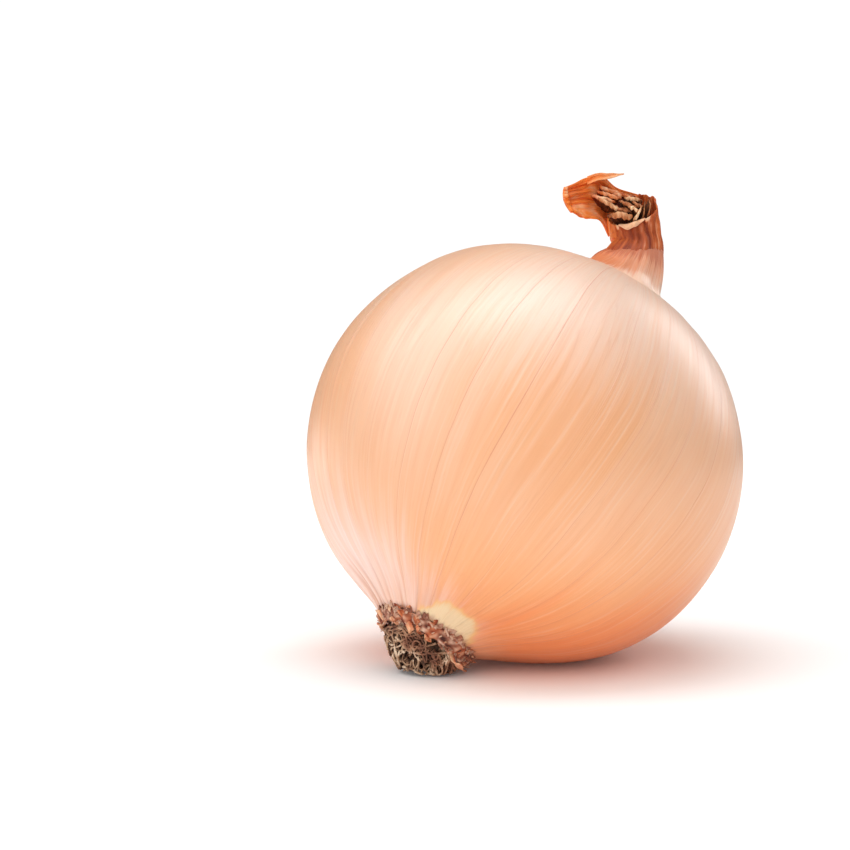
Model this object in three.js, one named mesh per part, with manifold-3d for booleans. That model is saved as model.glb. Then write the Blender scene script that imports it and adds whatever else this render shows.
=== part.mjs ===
// A whole yellow onion in its dry skin, lying on its side with the root end
// low at the front left and the dried neck high at the back right.
// Millimetres, +Z up. The origin is the centre of the small flat spot that the
// onion rests on.
import * as THREE from "three";
import { mergeVertices } from "three/addons/utils/BufferGeometryUtils.js";
import Module from "manifold-3d";

const wasm = await Module();
wasm.setup();
const { Manifold, Mesh: SolidMesh } = wasm;

// Underside: the lowest part is pressed a little flat, then cut flat
const NADIR_DEPTH = 39.25; // lowest point of the round shape below its centre
const PRESS_REACH = 9;
const PRESS = 1.8;
const REST_CUT = 0.45;

// Where the bulb lies and how its root-to-neck axis leans
const BULB_CENTRE = new THREE.Vector3(-1.9, -1.6, NADIR_DEPTH - PRESS - REST_CUT);
const AXIS_LEAN = THREE.MathUtils.degToRad(38.8); // away from upright
const AXIS_HEADING = THREE.MathUtils.degToRad(41.3); // from +X towards +Y

// The bulb's round shape, as a distance from its centre at each angle from the root
const BULB_RADIUS = 39.5;
const SWELLINGS = { 2: -0.045, 4: -0.021, 6: -0.009 }; // Legendre waves along the axis
const ROOT_CONE = { height: 6.1, spread: 0.258 };
const SHOULDER = { height: 3.0, spread: 0.289 };
const COLLAR = { height: 9.2, spread: 0.168 };
const ROOT_FACE = -38.6; // along the axis from the centre
const COLLAR_TOP = 41.0; // from here the skin draws in to the crease below the neck
const BULB_ROWS = 28;
const BULB_SIDES = 90;
const ROW_EASE = 0.09; // rows draw together towards both ends, where the skin bends most
const COLLAR_ROWS = 5;

// Veins that stand out of the skin, three columns of points to each of them
const VEINS = BULB_SIDES / 3;
const VEIN_START = THREE.MathUtils.degToRad(222.7);
const VEIN_HEIGHT = 0.2;
const ON_VEIN = 0.9; // cosine above which a column of points is the middle one of its vein
const RELIEF_FADE = 0.3; // radians over which the veins fade at both ends

// Soft twisted folds sunk into the shoulder, in a band below the neck, in radians
const FOLDS = 9;
const FOLD_DEPTH = 0.8;
const FOLD_TWIST = 1.2;
const FOLD_BAND = { below: 0.08, spread: 0.12 };

const GAP = 0.3; // left between two nodes that meet
const SHEET = 0.7; // thickness of a dry scale
const FLOOR_CLEARANCE = 0.25; // roots and scales end this high above the floor
const WIDE = 200; // wider than the whole part, for cutting
const MERGE = 1e-3; // points closer than this are one
const ON_AXIS = 1e-6;

// The dried neck, as heights and offsets from the bulb's centre
const NECK_LINE = [
  [20.1, 17.5, 33.3],
  [21.6, 19.2, 37.05],
  [21.3, 20.1, 39.8],
  [21.0, 20.5, 42.4],
  [20.9, 20.6, 45.0],
  [20.7, 20.5, 47.6],
];
const NECK_HALF_WIDTHS = [5.9, 5.1, 4.85, 4.9, 4.9, 4.7];
const NECK_HALF_DEPTHS = [5.9, 4.8, 4.3, 4.3, 4.2, 3.9];
const NECK_SIDES = 26;
const NECK_ROWS = 7;
const FLOOR_ROWS = 2; // of those rows, the ones below the floor of the opening
const NECK_WALL = SHEET + 0.2;
const CRUMPLE = { share: 0.05, waves: 5, twist: 4, fade: 3 };
const CREASE = 37.6; // above the bulb's centre, where the bulb's skin ends and the dry neck begins
const NECK_STRAIGHT = 0.5; // share of the neck's length over which it straightens up
const NECK_FLOOR = 0.34; // share of the neck's length that is solid
const NECK_RIM = { middle: 0.74, back: 0.2, right: -0.04 };
const RIM_RAGS = [
  { height: 0.025, waves: 7, phase: 0 },
  { height: 0.02, waves: 12, phase: 1 },
];

// The torn flap that bends left from the neck's back wall: lower edge, middle, upper edge
const FLAP_LOWER = [
  [16.6, 20.3, 39.6],
  [14.6, 19.9, 42.7],
  [12.3, 19.2, 43.1],
  [10.1, 18.4, 43.5],
  [8.3, 17.9, 44.9],
];
const FLAP_MIDDLE = [
  [19.6, 24.2, 43.2],
  [16.4, 23.0, 46.0],
  [13.4, 21.6, 47.0],
  [10.6, 20.0, 47.2],
  [7.9, 18.6, 47.0],
];
const FLAP_UPPER = [
  [22.2, 24.2, 46.6],
  [17.8, 23.2, 49.2],
  [14.6, 21.4, 50.8],
  [11.8, 19.6, 50.1],
  [8.3, 18.0, 48.9],
];
const FLAP_PLEATS = 3.5;
const FLAP_PLEAT_HEIGHT = 0.45;
const FLAP_RAG = { depth: 0.5, waves: 19 };
const FLAP_CELLS = { across: 14, along: 6 };
const TIP_LINE = [
  [13.6, 21.6, 50.0],
  [15.6, 21.6, 50.9],
  [17.6, 21.0, 51.2],
  [19.3, 20.6, 51.1],
];
const TIP_WIDTH = 2.2;
const TIP_TAPER = 0.9;
const TIP_THICKNESS = 0.6;
const TIP_CELLS = { across: 2, along: 5 };

// Curled inner scales standing in the neck: offset to the back, height above the bulb's centre, bend
const SCALE_OPENING = { halfWidth: 4.2, halfDepth: 4 };
const SCALE_FOOT = 0.06; // share of the neck's length that they reach into its floor
const SCALE_BEND = { waves: 1.3, foot: 0.4 };
const SCALE_SLOPE = 0.9; // each falls towards the right
const SCALE_RAG = { height: 0.3, waves: 7 };
const SCALE_LEAN = { left: 0.7, back: 0.3 };
const SCALE_CELLS = { across: 7, along: 4 };
const INNER_SCALES = [
  { back: -2.1, top: 42.6, wave: 0.5 },
  { back: -0.6, top: 44.6, wave: -0.7 },
  { back: 0.9, top: 46.2, wave: 0.6 },
  { back: 2.3, top: 47.4, wave: -0.4 },
];

// Root tuft: a corky plate with a mat of curled rootlets, measured outward from the root face
const PLATE_RADIUS = 6.6;
const PLATE_DEPTH = 1.6;
const PLATE_TAPER = 0.6;
const PLATE_SIDES = 24;
const TUFT_RADIUS = 8.4;
const TUFT_DEPTH = 6.8;
const WAIST_DEPTH = 1.4; // the mat widens over this depth below the ring
const DOME = { drop: 0.8, power: 2.2 };
const TUFT_ROWS = 8;
const TUFT_LEAN = 0.5; // how far the mat is pushed downhill for each millimetre of depth
const CORE_SHARE = 0.58; // the solid middle of the mat against its outline
const CORE_SIDES = 18;
const ROOTLETS = 48;
const ROOTLET_RADIUS = 0.42;
const ROOTLET_STEPS = 7;
const ROOTLET_POINTS = 6;
const ROOTLET_MARGIN = 0.1; // kept inside the mat's outline
const ROOTLET_START = 0.86; // share of the plate's radius that the outermost ones grow from
const ROOTLET_FOOT = 0.8; // depth in the plate
const ROOTLET_CURL = { least: 3, more: 3.5 }; // radians from foot to tip
const ROOTLET_REACH = { least: 0.8, more: 0.2, rimLoss: 0.45 }; // shares of the mat's depth
const ROOTLET_TURN = 0.2; // share of the curl that also goes round the plate
const ROOTLET_SPREAD = 0.6;
const ROOTLET_SWING = 1.3;
const GOLDEN_ANGLE = 2.39996;
const ROOT_SEED = 7;

// Torn ends of the skin, a ragged ring round the root plate
const RING_INNER = PLATE_RADIUS + GAP;
const RING_OUTER = 9.1;
const RING_DEPTH = 1.2;
const RING_SIDES = 28;
const RING_LIP = { under: 0.4, above: 0.2 }; // how far the ring's outside draws in below and above
const CHIPS = 13;
const CHIP_START = 0.5;
const CHIP_LENGTH = { least: 1.4, more: 2.4 };
const CHIP_WIDTH = { least: 0.75, more: 0.5, taper: 0.6 }; // shares of the room for one chip
const CHIP_LIFT = { least: 0.2, more: 0.9 };
const CHIP_SCATTER = 0.7;
const CHIP_SLANT = 0.15;
const CHIP_WAVE = { height: 0.1, waves: 9 };
const CHIP_INSET = 1.2; // from the ring's outside to where the chips lie
const CHIP_CELLS = { across: 2, along: 3 };
const CHIP_SEED = 21;
const TUFT_CUT_SIDES = 20;

// Random numbers that come out the same on every run
function seeded(seed) {
  let state = seed;
  return () => {
    state = (state * 1664525 + 1013904223) % 4294967296;
    return state / 4294967296;
  };
}

// The matrix that lays the onion's own frame, +z from root to neck, into the part's frame
const LAY = new THREE.Matrix4()
  .makeTranslation(BULB_CENTRE)
  .multiply(new THREE.Matrix4().makeRotationZ(AXIS_HEADING))
  .multiply(new THREE.Matrix4().makeRotationY(AXIS_LEAN));

// A geometry with shared vertices and nothing but positions
function bare(geometry) {
  const copy = geometry.clone();
  copy.deleteAttribute("normal");
  copy.deleteAttribute("uv");
  return mergeVertices(copy, MERGE);
}

// Each point of a geometry moved by a function that changes a Vector3
function moved(geometry, move) {
  const made = bare(geometry);
  const position = made.attributes.position;
  const point = new THREE.Vector3();
  for (let i = 0; i < position.count; i++) {
    point.fromBufferAttribute(position, i);
    move(point);
    position.setXYZ(i, point.x, point.y, point.z);
  }
  return made;
}

function solid(geometry) {
  const { attributes, index } = bare(geometry);
  return new Manifold(
    new SolidMesh({
      numProp: 3,
      vertProperties: new Float32Array(attributes.position.array),
      triVerts: new Uint32Array(index.array),
    }),
  );
}

// The largest closed surface of a body: sealed hollows are filled and loose scraps dropped
function largest(body) {
  return body.decompose().reduce((best, one) => (one.volume() > best.volume() ? one : best));
}

function node(name, body, { colour, roughness }) {
  const { vertProperties, triVerts } = largest(body).getMesh();
  const geometry = new THREE.BufferGeometry();
  geometry.setAttribute("position", new THREE.BufferAttribute(vertProperties, 3));
  geometry.setIndex(new THREE.BufferAttribute(triVerts, 1));
  geometry.computeVertexNormals();
  const material = new THREE.MeshStandardMaterial({ color: colour, roughness, metalness: 0 });
  const mesh = new THREE.Mesh(geometry, material);
  mesh.name = name;
  return mesh;
}

// A thin curved sheet. place(u, v) gives the point at u across and v along it, each 0 to 1.
function sheet(place, { across, along }, thickness = SHEET) {
  const box = new THREE.BoxGeometry(1, 1, 1, across, along, 1);
  const back = box.groups[5];
  const order = box.index.array;
  // Both faces are split along the same diagonals, so that a wave doesn't make them cross
  for (let i = back.start; i < back.start + back.count; i += 6) {
    const [a, b, d, , c] = order.slice(i, i + 6);
    order.set([a, b, c, a, c, d], i);
  }
  const step = 1e-3;
  return moved(box, (point) => {
    const u = point.x + 0.5;
    const v = point.y + 0.5;
    const side = point.z;
    const here = place(u, v);
    const right = place(u + step, v).sub(here);
    const up = place(u, v + step).sub(here);
    const normal = right.cross(up).normalize();
    point.copy(here).addScaledVector(normal, side * thickness);
  });
}

// A square block between two heights, to cut with
function block(low, high, width) {
  return solid(new THREE.BoxGeometry(width, width, high - low).translate(0, 0, (low + high) / 2));
}

// Between two numbers, at random
const some = ({ least, more }, random) => least + more * random();

const curveOf = (list) => new THREE.CatmullRomCurve3(list.map((p) => new THREE.Vector3(...p)));

// A list of numbers read at t, 0 to 1, with straight lines between them
function between(list, t) {
  const place = THREE.MathUtils.clamp(t, 0, 1) * (list.length - 1);
  const low = Math.min(Math.floor(place), list.length - 2);
  return THREE.MathUtils.lerp(list[low], list[low + 1], place - low);
}

// The bulb

function legendre(order, x) {
  if (order === 0) return 1;
  if (order === 1) return x;
  return ((2 * order - 1) * x * legendre(order - 1, x) - (order - 1) * legendre(order - 2, x)) / order;
}

const bump = ({ height, spread }, angle) => height * Math.exp(-((angle / spread) ** 2));

// Distance from the bulb's centre to its skin at an angle from the root
function bulbRadius(angle) {
  const x = Math.cos(angle);
  const waves = Object.entries(SWELLINGS).map(([order, share]) => share * legendre(+order, x));
  const swelling = waves.reduce((sum, wave) => sum + wave, 1);
  const toNeck = Math.PI - angle;
  return (
    BULB_RADIUS * swelling +
    bump(ROOT_CONE, angle) +
    bump(SHOULDER, toNeck) +
    bump(COLLAR, toNeck)
  );
}

// The angle at which the skin reaches a height along the axis, by halving the range
function angleAt(height) {
  let low = 0;
  let high = Math.PI;
  for (let i = 0; i < 40; i++) {
    const middle = (low + high) / 2;
    if (-bulbRadius(middle) * Math.cos(middle) < height) low = middle;
    else high = middle;
  }
  return low;
}

const ROOT_ANGLE = angleAt(ROOT_FACE);
const COLLAR_ANGLE = angleAt(COLLAR_TOP);

function bulbProfile() {
  const points = [new THREE.Vector2(0, ROOT_FACE)];
  for (let i = 0; i <= BULB_ROWS; i++) {
    const share = i / BULB_ROWS;
    const eased = share - ROW_EASE * Math.sin(2 * Math.PI * share);
    const angle = THREE.MathUtils.lerp(ROOT_ANGLE, COLLAR_ANGLE, eased);
    const radius = bulbRadius(angle);
    points.push(new THREE.Vector2(radius * Math.sin(angle), -radius * Math.cos(angle)));
  }
  const collarRadius = points.at(-1).x;
  for (let i = 1; i <= COLLAR_ROWS; i++) points.push(new THREE.Vector2(collarRadius, COLLAR_TOP + i));
  points.push(new THREE.Vector2(0, COLLAR_TOP + COLLAR_ROWS));
  return points;
}

// Veins and shoulder folds, as a height above the round shape
function relief(longitude, angle) {
  const column = (longitude - VEIN_START) / (2 * Math.PI);
  const vein = Math.cos(2 * Math.PI * VEINS * column) > ON_VEIN ? VEIN_HEIGHT : 0;
  const fromEnds = Math.min(1, (angle - ROOT_ANGLE) / RELIEF_FADE, (COLLAR_ANGLE - angle) / RELIEF_FADE);
  const onShoulder = Math.exp(-(((COLLAR_ANGLE - angle - FOLD_BAND.below) / FOLD_BAND.spread) ** 2));
  const fold = (-FOLD_DEPTH * (1 + Math.cos(FOLDS * (longitude + FOLD_TWIST * angle)))) / 2;
  return vein * fromEnds + fold * onShoulder;
}

// The lowest few millimetres pressed towards the floor, in the part's frame
function press(point) {
  const height = point.z - BULB_CENTRE.z + NADIR_DEPTH;
  if (height >= PRESS_REACH) return;
  point.z += PRESS * (1 - height / PRESS_REACH) ** 2;
}

// The skin at a longitude and an angle from the root, in the part's frame
function skinPoint(longitude, angle) {
  const radius = bulbRadius(angle) + relief(longitude, angle);
  const flat = radius * Math.sin(angle);
  const point = new THREE.Vector3(flat, 0, -radius * Math.cos(angle));
  point.applyAxisAngle(new THREE.Vector3(0, 0, 1), longitude).applyMatrix4(LAY);
  press(point);
  return point;
}

function bulb() {
  const lathe = new THREE.LatheGeometry(bulbProfile(), BULB_SIDES, VEIN_START + Math.PI / 2);
  lathe.rotateX(Math.PI / 2); // the lathe turns about y
  const creaseHeight = CREASE - GAP;
  const shaped = moved(lathe, (point) => {
    const flat = Math.hypot(point.x, point.y);
    const aboveCollar = (point.z - COLLAR_TOP) / COLLAR_ROWS;
    if (flat < ON_AXIS && aboveCollar > 0) {
      point.copy(neckAtHeight(0, creaseHeight)).add(neckAtHeight(Math.PI, creaseHeight));
      point.multiplyScalar(0.5).add(BULB_CENTRE);
    } else if (flat < ON_AXIS) point.applyMatrix4(LAY);
    else {
      const longitude = Math.atan2(point.y, point.x);
      const angle = aboveCollar > 0 ? COLLAR_ANGLE : Math.atan2(flat, -point.z);
      const crease = neckAtHeight(longitude + NECK_TURN, creaseHeight).add(BULB_CENTRE);
      point.copy(skinPoint(longitude, angle));
      if (aboveCollar > MERGE) point.lerp(crease, aboveCollar);
    }
  });
  return solid(shaped).subtract(block(-WIDE, 0, WIDE));
}

// The neck

const neckLine = curveOf(NECK_LINE);

// The neck counts its sides from +X, the bulb from its own x axis
const NECK_TURN = Math.atan2(Math.sin(AXIS_HEADING), Math.cos(AXIS_HEADING) * Math.cos(AXIS_LEAN));

// The neck's own frame at a share of its length: centre, right, back
function neckFrame(share) {
  const t = THREE.MathUtils.clamp(share, 0, 1);
  const centre = neckLine.getPoint(t);
  // It leaves the bulb square to the onion's axis and straightens up over its lower half
  const along = new THREE.Vector3(0, 0, 1).transformDirection(LAY);
  along.lerp(neckLine.getTangent(t), Math.min(1, t / NECK_STRAIGHT)).normalize();
  const right = new THREE.Vector3(1, 0, 0);
  right.addScaledVector(along, -right.dot(along)).normalize();
  const back = along.clone().cross(right);
  return { centre, right, back };
}

function neckPoint(share, around, inset) {
  const { centre, right, back } = neckFrame(share);
  const wide = between(NECK_HALF_WIDTHS, share) - inset;
  const deep = between(NECK_HALF_DEPTHS, share) - inset;
  const wave = Math.cos(CRUMPLE.waves * around + CRUMPLE.twist * share);
  const crumple = 1 + CRUMPLE.share * wave * Math.min(1, CRUMPLE.fade * share);
  return centre
    .addScaledVector(right, wide * crumple * Math.cos(around))
    .addScaledVector(back, deep * crumple * Math.sin(around));
}

// The wall's outside where it crosses a height above the bulb's centre, by halving the range
function neckAtHeight(around, height) {
  let low = 0;
  let high = 1;
  for (let i = 0; i < 30; i++) {
    const middle = (low + high) / 2;
    if (neckPoint(middle, around, 0).z < height) low = middle;
    else high = middle;
  }
  return neckPoint(low, around, 0);
}

// How far up the wall is torn: low at the front, high at the back and the right
function neckRim(around) {
  const { middle, back, right } = NECK_RIM;
  const rags = RIM_RAGS.map(({ height, waves, phase }) => height * Math.sin(waves * around + phase));
  return middle + back * Math.sin(around) + right * Math.cos(around) + rags[0] + rags[1];
}

// A cup: up the outside, over the rim, down the inside to the floor. It is first drawn as a
// plain one, with its inside wall at radius 1, its outside wall at radius 2 and a height of 1.
function neckWall() {
  const floorShare = FLOOR_ROWS / NECK_ROWS;
  const profile = [new THREE.Vector2(0, 0)];
  for (let i = 0; i <= NECK_ROWS; i++) profile.push(new THREE.Vector2(2, i / NECK_ROWS));
  for (let i = NECK_ROWS; i >= FLOOR_ROWS; i--) profile.push(new THREE.Vector2(1, i / NECK_ROWS));
  profile.push(new THREE.Vector2(0, floorShare));
  const cup = new THREE.LatheGeometry(profile, NECK_SIDES).rotateX(Math.PI / 2);
  return moved(cup, (point) => {
    const wall = Math.round(Math.hypot(point.x, point.y));
    const around = Math.atan2(point.y, point.x);
    const wallShare = (point.z - floorShare) / (1 - floorShare);
    const rim = wall === 0 ? NECK_RIM.middle : neckRim(around);
    const low = THREE.MathUtils.lerp(0, NECK_FLOOR, point.z / floorShare);
    const share = wallShare > 0 ? THREE.MathUtils.lerp(NECK_FLOOR, rim, wallShare) : low;
    if (wall === 0) point.copy(neckFrame(share).centre);
    else point.copy(neckPoint(share, around, wall === 1 ? NECK_WALL : 0));
  });
}

function neckFlap() {
  const lower = curveOf(FLAP_LOWER);
  const middle = curveOf(FLAP_MIDDLE);
  const upper = curveOf(FLAP_UPPER);
  const place = (u, v) => {
    // Beyond its end the curve would stop, so it runs straight on there for the sheet's normal
    const t = THREE.MathUtils.clamp(v, 0, 1);
    const beyond = v - t;
    const a = lower.getPoint(t);
    const b = middle.getPoint(t);
    const c = upper.getPoint(t);
    const point = a.multiplyScalar((1 - u) * (1 - 2 * u));
    point.addScaledVector(b, 4 * u * (1 - u)).addScaledVector(c, u * (2 * u - 1));
    point.y += FLAP_PLEAT_HEIGHT * t * Math.sin(2 * Math.PI * FLAP_PLEATS * u);
    point.x += FLAP_RAG.depth * t * t * Math.sin(FLAP_RAG.waves * u);
    return point.addScaledVector(new THREE.Vector3(-1, 0, 0.05), 10 * beyond);
  };
  return sheet(place, FLAP_CELLS);
}

function neckTip() {
  const line = curveOf(TIP_LINE);
  const place = (u, v) => {
    const t = THREE.MathUtils.clamp(v, 0, 1);
    const point = line.getPoint(t);
    const half = TIP_WIDTH * (1 - TIP_TAPER * t) * (u - 0.5);
    point.x += 10 * (v - t); // straight on beyond its end, as for the flap
    return point.add(new THREE.Vector3(0, half / 2, half));
  };
  return sheet(place, TIP_CELLS, TIP_THICKNESS);
}

function innerScale({ back, top, wave }) {
  const floor = neckFrame(NECK_FLOOR - SCALE_FOOT).centre;
  const { halfWidth, halfDepth } = SCALE_OPENING;
  const chord = halfWidth * Math.sqrt(1 - (back / halfDepth) ** 2);
  const place = (u, v) => {
    const x = 2 * u - 1;
    const grown = THREE.MathUtils.lerp(SCALE_BEND.foot, 1, v);
    const bend = wave * Math.cos(Math.PI * SCALE_BEND.waves * x) * grown;
    const lip = top - SCALE_SLOPE * x + SCALE_RAG.height * Math.sin(SCALE_RAG.waves * x);
    return new THREE.Vector3(
      floor.x + chord * x - SCALE_LEAN.left * v,
      floor.y + back + bend + SCALE_LEAN.back * v,
      THREE.MathUtils.lerp(floor.z, lip, v),
    );
  };
  return sheet(place, SCALE_CELLS);
}

function neck() {
  const pieces = [neckWall(), neckFlap(), neckTip(), ...INNER_SCALES.map(innerScale)];
  const bodies = pieces.map((piece) => solid(piece.translate(...BULB_CENTRE)));
  const joined = bodies.reduce((sum, body) => sum.add(body));
  return joined.subtract(block(0, BULB_CENTRE.z + CREASE, WIDE));
}

// The root tuft

const ROOT_TOP = ROOT_FACE - GAP; // the tuft and the ring start here on the onion's axis

// Radius of the mat's outline at a depth outward from the root face: a waist, then a dome
function tuftRadius(depth) {
  const waist = THREE.MathUtils.smoothstep(depth, RING_DEPTH, RING_DEPTH + WAIST_DEPTH);
  const dome = Math.sqrt(1 - DOME.drop * Math.min(1, depth / TUFT_DEPTH) ** DOME.power);
  return THREE.MathUtils.lerp(PLATE_RADIUS, TUFT_RADIUS, waist) * dome;
}

// A point of the tuft in the part's frame, never lower than the floor allows
function tuftPoint(x, y, depth, least = FLOOR_CLEARANCE) {
  const downhill = TUFT_LEAN * Math.max(0, depth - RING_DEPTH);
  const point = new THREE.Vector3(x + downhill, y, ROOT_TOP - depth).applyMatrix4(LAY);
  point.z = Math.max(point.z, least);
  return point;
}

// A geometry that was drawn round the onion's axis, put in its place at the root end
function atRoot(geometry) {
  return moved(geometry, (point) => point.copy(tuftPoint(point.x, point.y, ROOT_TOP - point.z)));
}

// A round body with the mat's outline, scaled across and along and grown by a margin
function tuftBody(share, margin, sides) {
  const depth = TUFT_DEPTH * share;
  const points = [new THREE.Vector2(0, ROOT_TOP - depth - margin)];
  for (let i = TUFT_ROWS; i >= 0; i--) {
    const here = (depth * i) / TUFT_ROWS;
    points.push(new THREE.Vector2(tuftRadius(here / share) * share + margin, ROOT_TOP - here));
  }
  points.push(new THREE.Vector2(0, ROOT_TOP));
  return new THREE.LatheGeometry(points, sides).rotateX(Math.PI / 2);
}

// One curled rootlet, from inside the plate out to the surface of the dome
function rootlet(random, turn) {
  const ring = Math.sqrt((turn + 0.5) / ROOTLETS);
  const start = ROOTLET_START * PLATE_RADIUS * ring;
  const curl = (random() < 0.5 ? -1 : 1) * some(ROOTLET_CURL, random);
  const phase = random() * 2 * Math.PI;
  const reach = TUFT_DEPTH * some(ROOTLET_REACH, random) * (1 - ROOTLET_REACH.rimLoss * ring ** 3);
  const points = [];
  for (let i = 0; i < ROOTLET_POINTS; i++) {
    const t = i / (ROOTLET_POINTS - 1);
    const depth = THREE.MathUtils.lerp(ROOTLET_FOOT, reach, t);
    const angle = GOLDEN_ANGLE * turn + ROOTLET_TURN * curl * t;
    const swing = ROOTLET_SWING * Math.min(1, 2 * t);
    const out = start * (1 + ROOTLET_SPREAD * t);
    const x = out * Math.cos(angle) + swing * Math.cos(phase + curl * t);
    const y = out * Math.sin(angle) + swing * Math.sin(phase + curl * t);
    const most = tuftRadius(depth) - ROOTLET_RADIUS - ROOTLET_MARGIN;
    const scale = Math.min(1, most / Math.hypot(x, y));
    points.push(tuftPoint(x * scale, y * scale, depth, FLOOR_CLEARANCE + ROOTLET_RADIUS));
  }
  const section = new THREE.Shape(
    [0, 1, 2, 3].map((corner) => {
      const angle = (corner * Math.PI) / 2;
      return new THREE.Vector2(Math.cos(angle), Math.sin(angle)).multiplyScalar(ROOTLET_RADIUS);
    }),
  );
  return new THREE.ExtrudeGeometry(section, {
    steps: ROOTLET_STEPS,
    extrudePath: new THREE.CatmullRomCurve3(points),
  });
}

function rootTuft() {
  const random = seeded(ROOT_SEED);
  const plate = new THREE.CylinderGeometry(PLATE_RADIUS, PLATE_RADIUS - PLATE_TAPER, PLATE_DEPTH, PLATE_SIDES);
  plate.rotateX(Math.PI / 2).translate(0, 0, ROOT_TOP - PLATE_DEPTH / 2);
  let body = solid(atRoot(tuftBody(CORE_SHARE, 0, CORE_SIDES))).add(solid(atRoot(plate)));
  for (let turn = 0; turn < ROOTLETS; turn++) body = body.add(solid(rootlet(random, turn)));
  return body;
}

// The ragged ring of torn skin

function chip(random, turn) {
  const room = Math.PI / CHIPS;
  const middle = (turn + CHIP_SCATTER * (random() - 0.5)) * 2 * room;
  const half = some(CHIP_WIDTH, random) * room;
  const length = some(CHIP_LENGTH, random);
  const lift = some(CHIP_LIFT, random);
  const slant = CHIP_SLANT * (random() - 0.5);
  const place = (u, v) => {
    const depth = CHIP_START + length * v;
    const angle = middle + half * (1 - CHIP_WIDTH.taper * v) * (2 * u - 1) + slant * v;
    const onMat = Math.max(tuftRadius(depth), RING_OUTER - CHIP_INSET) + GAP + SHEET / 2;
    const radius = onMat + lift * v * v + CHIP_WAVE.height * Math.sin(CHIP_WAVE.waves * u);
    return tuftPoint(radius * Math.cos(angle), radius * Math.sin(angle), depth, FLOOR_CLEARANCE + SHEET / 2);
  };
  return sheet(place, CHIP_CELLS);
}

function tornSkin() {
  const random = seeded(CHIP_SEED);
  const section = [
    [RING_INNER, 0],
    [RING_INNER, RING_DEPTH],
    [RING_OUTER - RING_LIP.under, RING_DEPTH],
    [RING_OUTER, RING_DEPTH / 2],
    [RING_OUTER - RING_LIP.above, 0],
    [RING_INNER, 0],
  ].map(([radius, depth]) => new THREE.Vector2(radius, ROOT_TOP - depth));
  let body = solid(atRoot(new THREE.LatheGeometry(section, RING_SIDES).rotateX(Math.PI / 2)));
  for (let turn = 0; turn < CHIPS; turn++) body = body.add(solid(chip(random, turn)));
  return body.subtract(solid(atRoot(tuftBody(1, GAP, TUFT_CUT_SIDES))));
}

const LOOKS = {
  bulb: { colour: 0xf2b487, roughness: 0.4 },
  neck: { colour: 0xb9592a, roughness: 0.6 },
  rootTuft: { colour: 0xa98a6c, roughness: 0.9 },
  tornSkin: { colour: 0xb0603a, roughness: 0.7 },
};

const onion = new THREE.Group();
onion.add(node("bulb", bulb(), LOOKS.bulb));
onion.add(node("neck", neck(), LOOKS.neck));
onion.add(node("root_tuft", rootTuft(), LOOKS.rootTuft));
onion.add(node("torn_skin", tornSkin(), LOOKS.tornSkin));

export default onion;
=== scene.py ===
# %% [markdown]
# # A whole yellow onion
# The CAD model says where each part of the onion lies and how large it is. This
# lesson lays fine surfaces over it: a papery skin with veins, a dry torn neck, a
# tuft of curled roots and the ragged ends of skin around it. Everything is in
# metres and in the frame of the CAD model, so nothing has to be fitted.

# %% Load the frame
import math
import random

import bmesh
import bpy
from mathutils import Matrix, Vector, noise


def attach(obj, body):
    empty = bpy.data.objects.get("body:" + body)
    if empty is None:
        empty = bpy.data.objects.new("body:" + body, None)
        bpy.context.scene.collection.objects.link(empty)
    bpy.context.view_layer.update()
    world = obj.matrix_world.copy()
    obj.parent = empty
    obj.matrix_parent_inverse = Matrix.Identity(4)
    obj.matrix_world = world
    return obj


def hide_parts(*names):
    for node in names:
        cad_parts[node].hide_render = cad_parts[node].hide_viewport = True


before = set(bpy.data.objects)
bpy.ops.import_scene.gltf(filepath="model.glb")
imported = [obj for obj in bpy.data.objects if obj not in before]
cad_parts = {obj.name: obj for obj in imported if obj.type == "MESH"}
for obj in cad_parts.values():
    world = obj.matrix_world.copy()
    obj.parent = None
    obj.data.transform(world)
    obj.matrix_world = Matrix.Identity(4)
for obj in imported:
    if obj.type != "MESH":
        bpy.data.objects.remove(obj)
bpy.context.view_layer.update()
print("CAD nodes:", ", ".join(sorted(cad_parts)))

# %% [markdown]
# ## The camera
# The picture looks at the onion from a little above. A long lens from half a metre
# away keeps the bulb nearly free of perspective. The camera comes first, because
# every later choice is judged through it.

# %% Camera
MM = 0.001
camera = bpy.data.objects.new("camera", bpy.data.cameras.new("camera"))
bpy.context.scene.collection.objects.link(camera)
bpy.context.scene.camera = camera
camera.location = Vector((-20.14, -557.9, 101.53)) * MM
camera.rotation_euler = (math.radians(84), 0, 0)
camera.data.sensor_width = 36
camera.data.lens = 129.2
camera.data.clip_start = 0.01
print("Camera", round(camera.location.length, 3), "m from the resting spot")

# %% [markdown]
# ## Colour of the picture
# Product pictures keep paper white and onion skin saturated. The Standard view shows
# colours as they are, where Blender's usual film-like view would grey the paper.

# %% View
bpy.context.scene.view_settings.view_transform = "Standard"
bpy.context.scene.view_settings.look = "None"
print("View transform:", bpy.context.scene.view_settings.view_transform)

# %% [markdown]
# ## The onion's own axes
# A bulb is round about the line from its root to its neck, and that line leans away
# from upright. Shapes are easiest to describe about that line, so one matrix lays
# them down in the place where the onion rests. Numbers are in millimetres until then.

# %% Axes and small helpers
CENTRE = Vector((-1.9, -1.6, 37.0))
LEAN = math.radians(38.8)
HEADING = math.radians(41.3)
TURN = Matrix.Rotation(HEADING, 3, "Z") @ Matrix.Rotation(LEAN, 3, "Y")


def lerp(low, high, share):
    return low + (high - low) * share


def clamp(value, low=0.0, high=1.0):
    return max(low, min(high, value))


def smooth(value, low, high):
    """0 below low, 1 above high, with a soft step between them."""
    share = clamp((value - low) / (high - low))
    return share * share * (3 - 2 * share)


def hump(value, middle, spread):
    return math.exp(-(((value - middle) / spread) ** 2))


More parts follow.
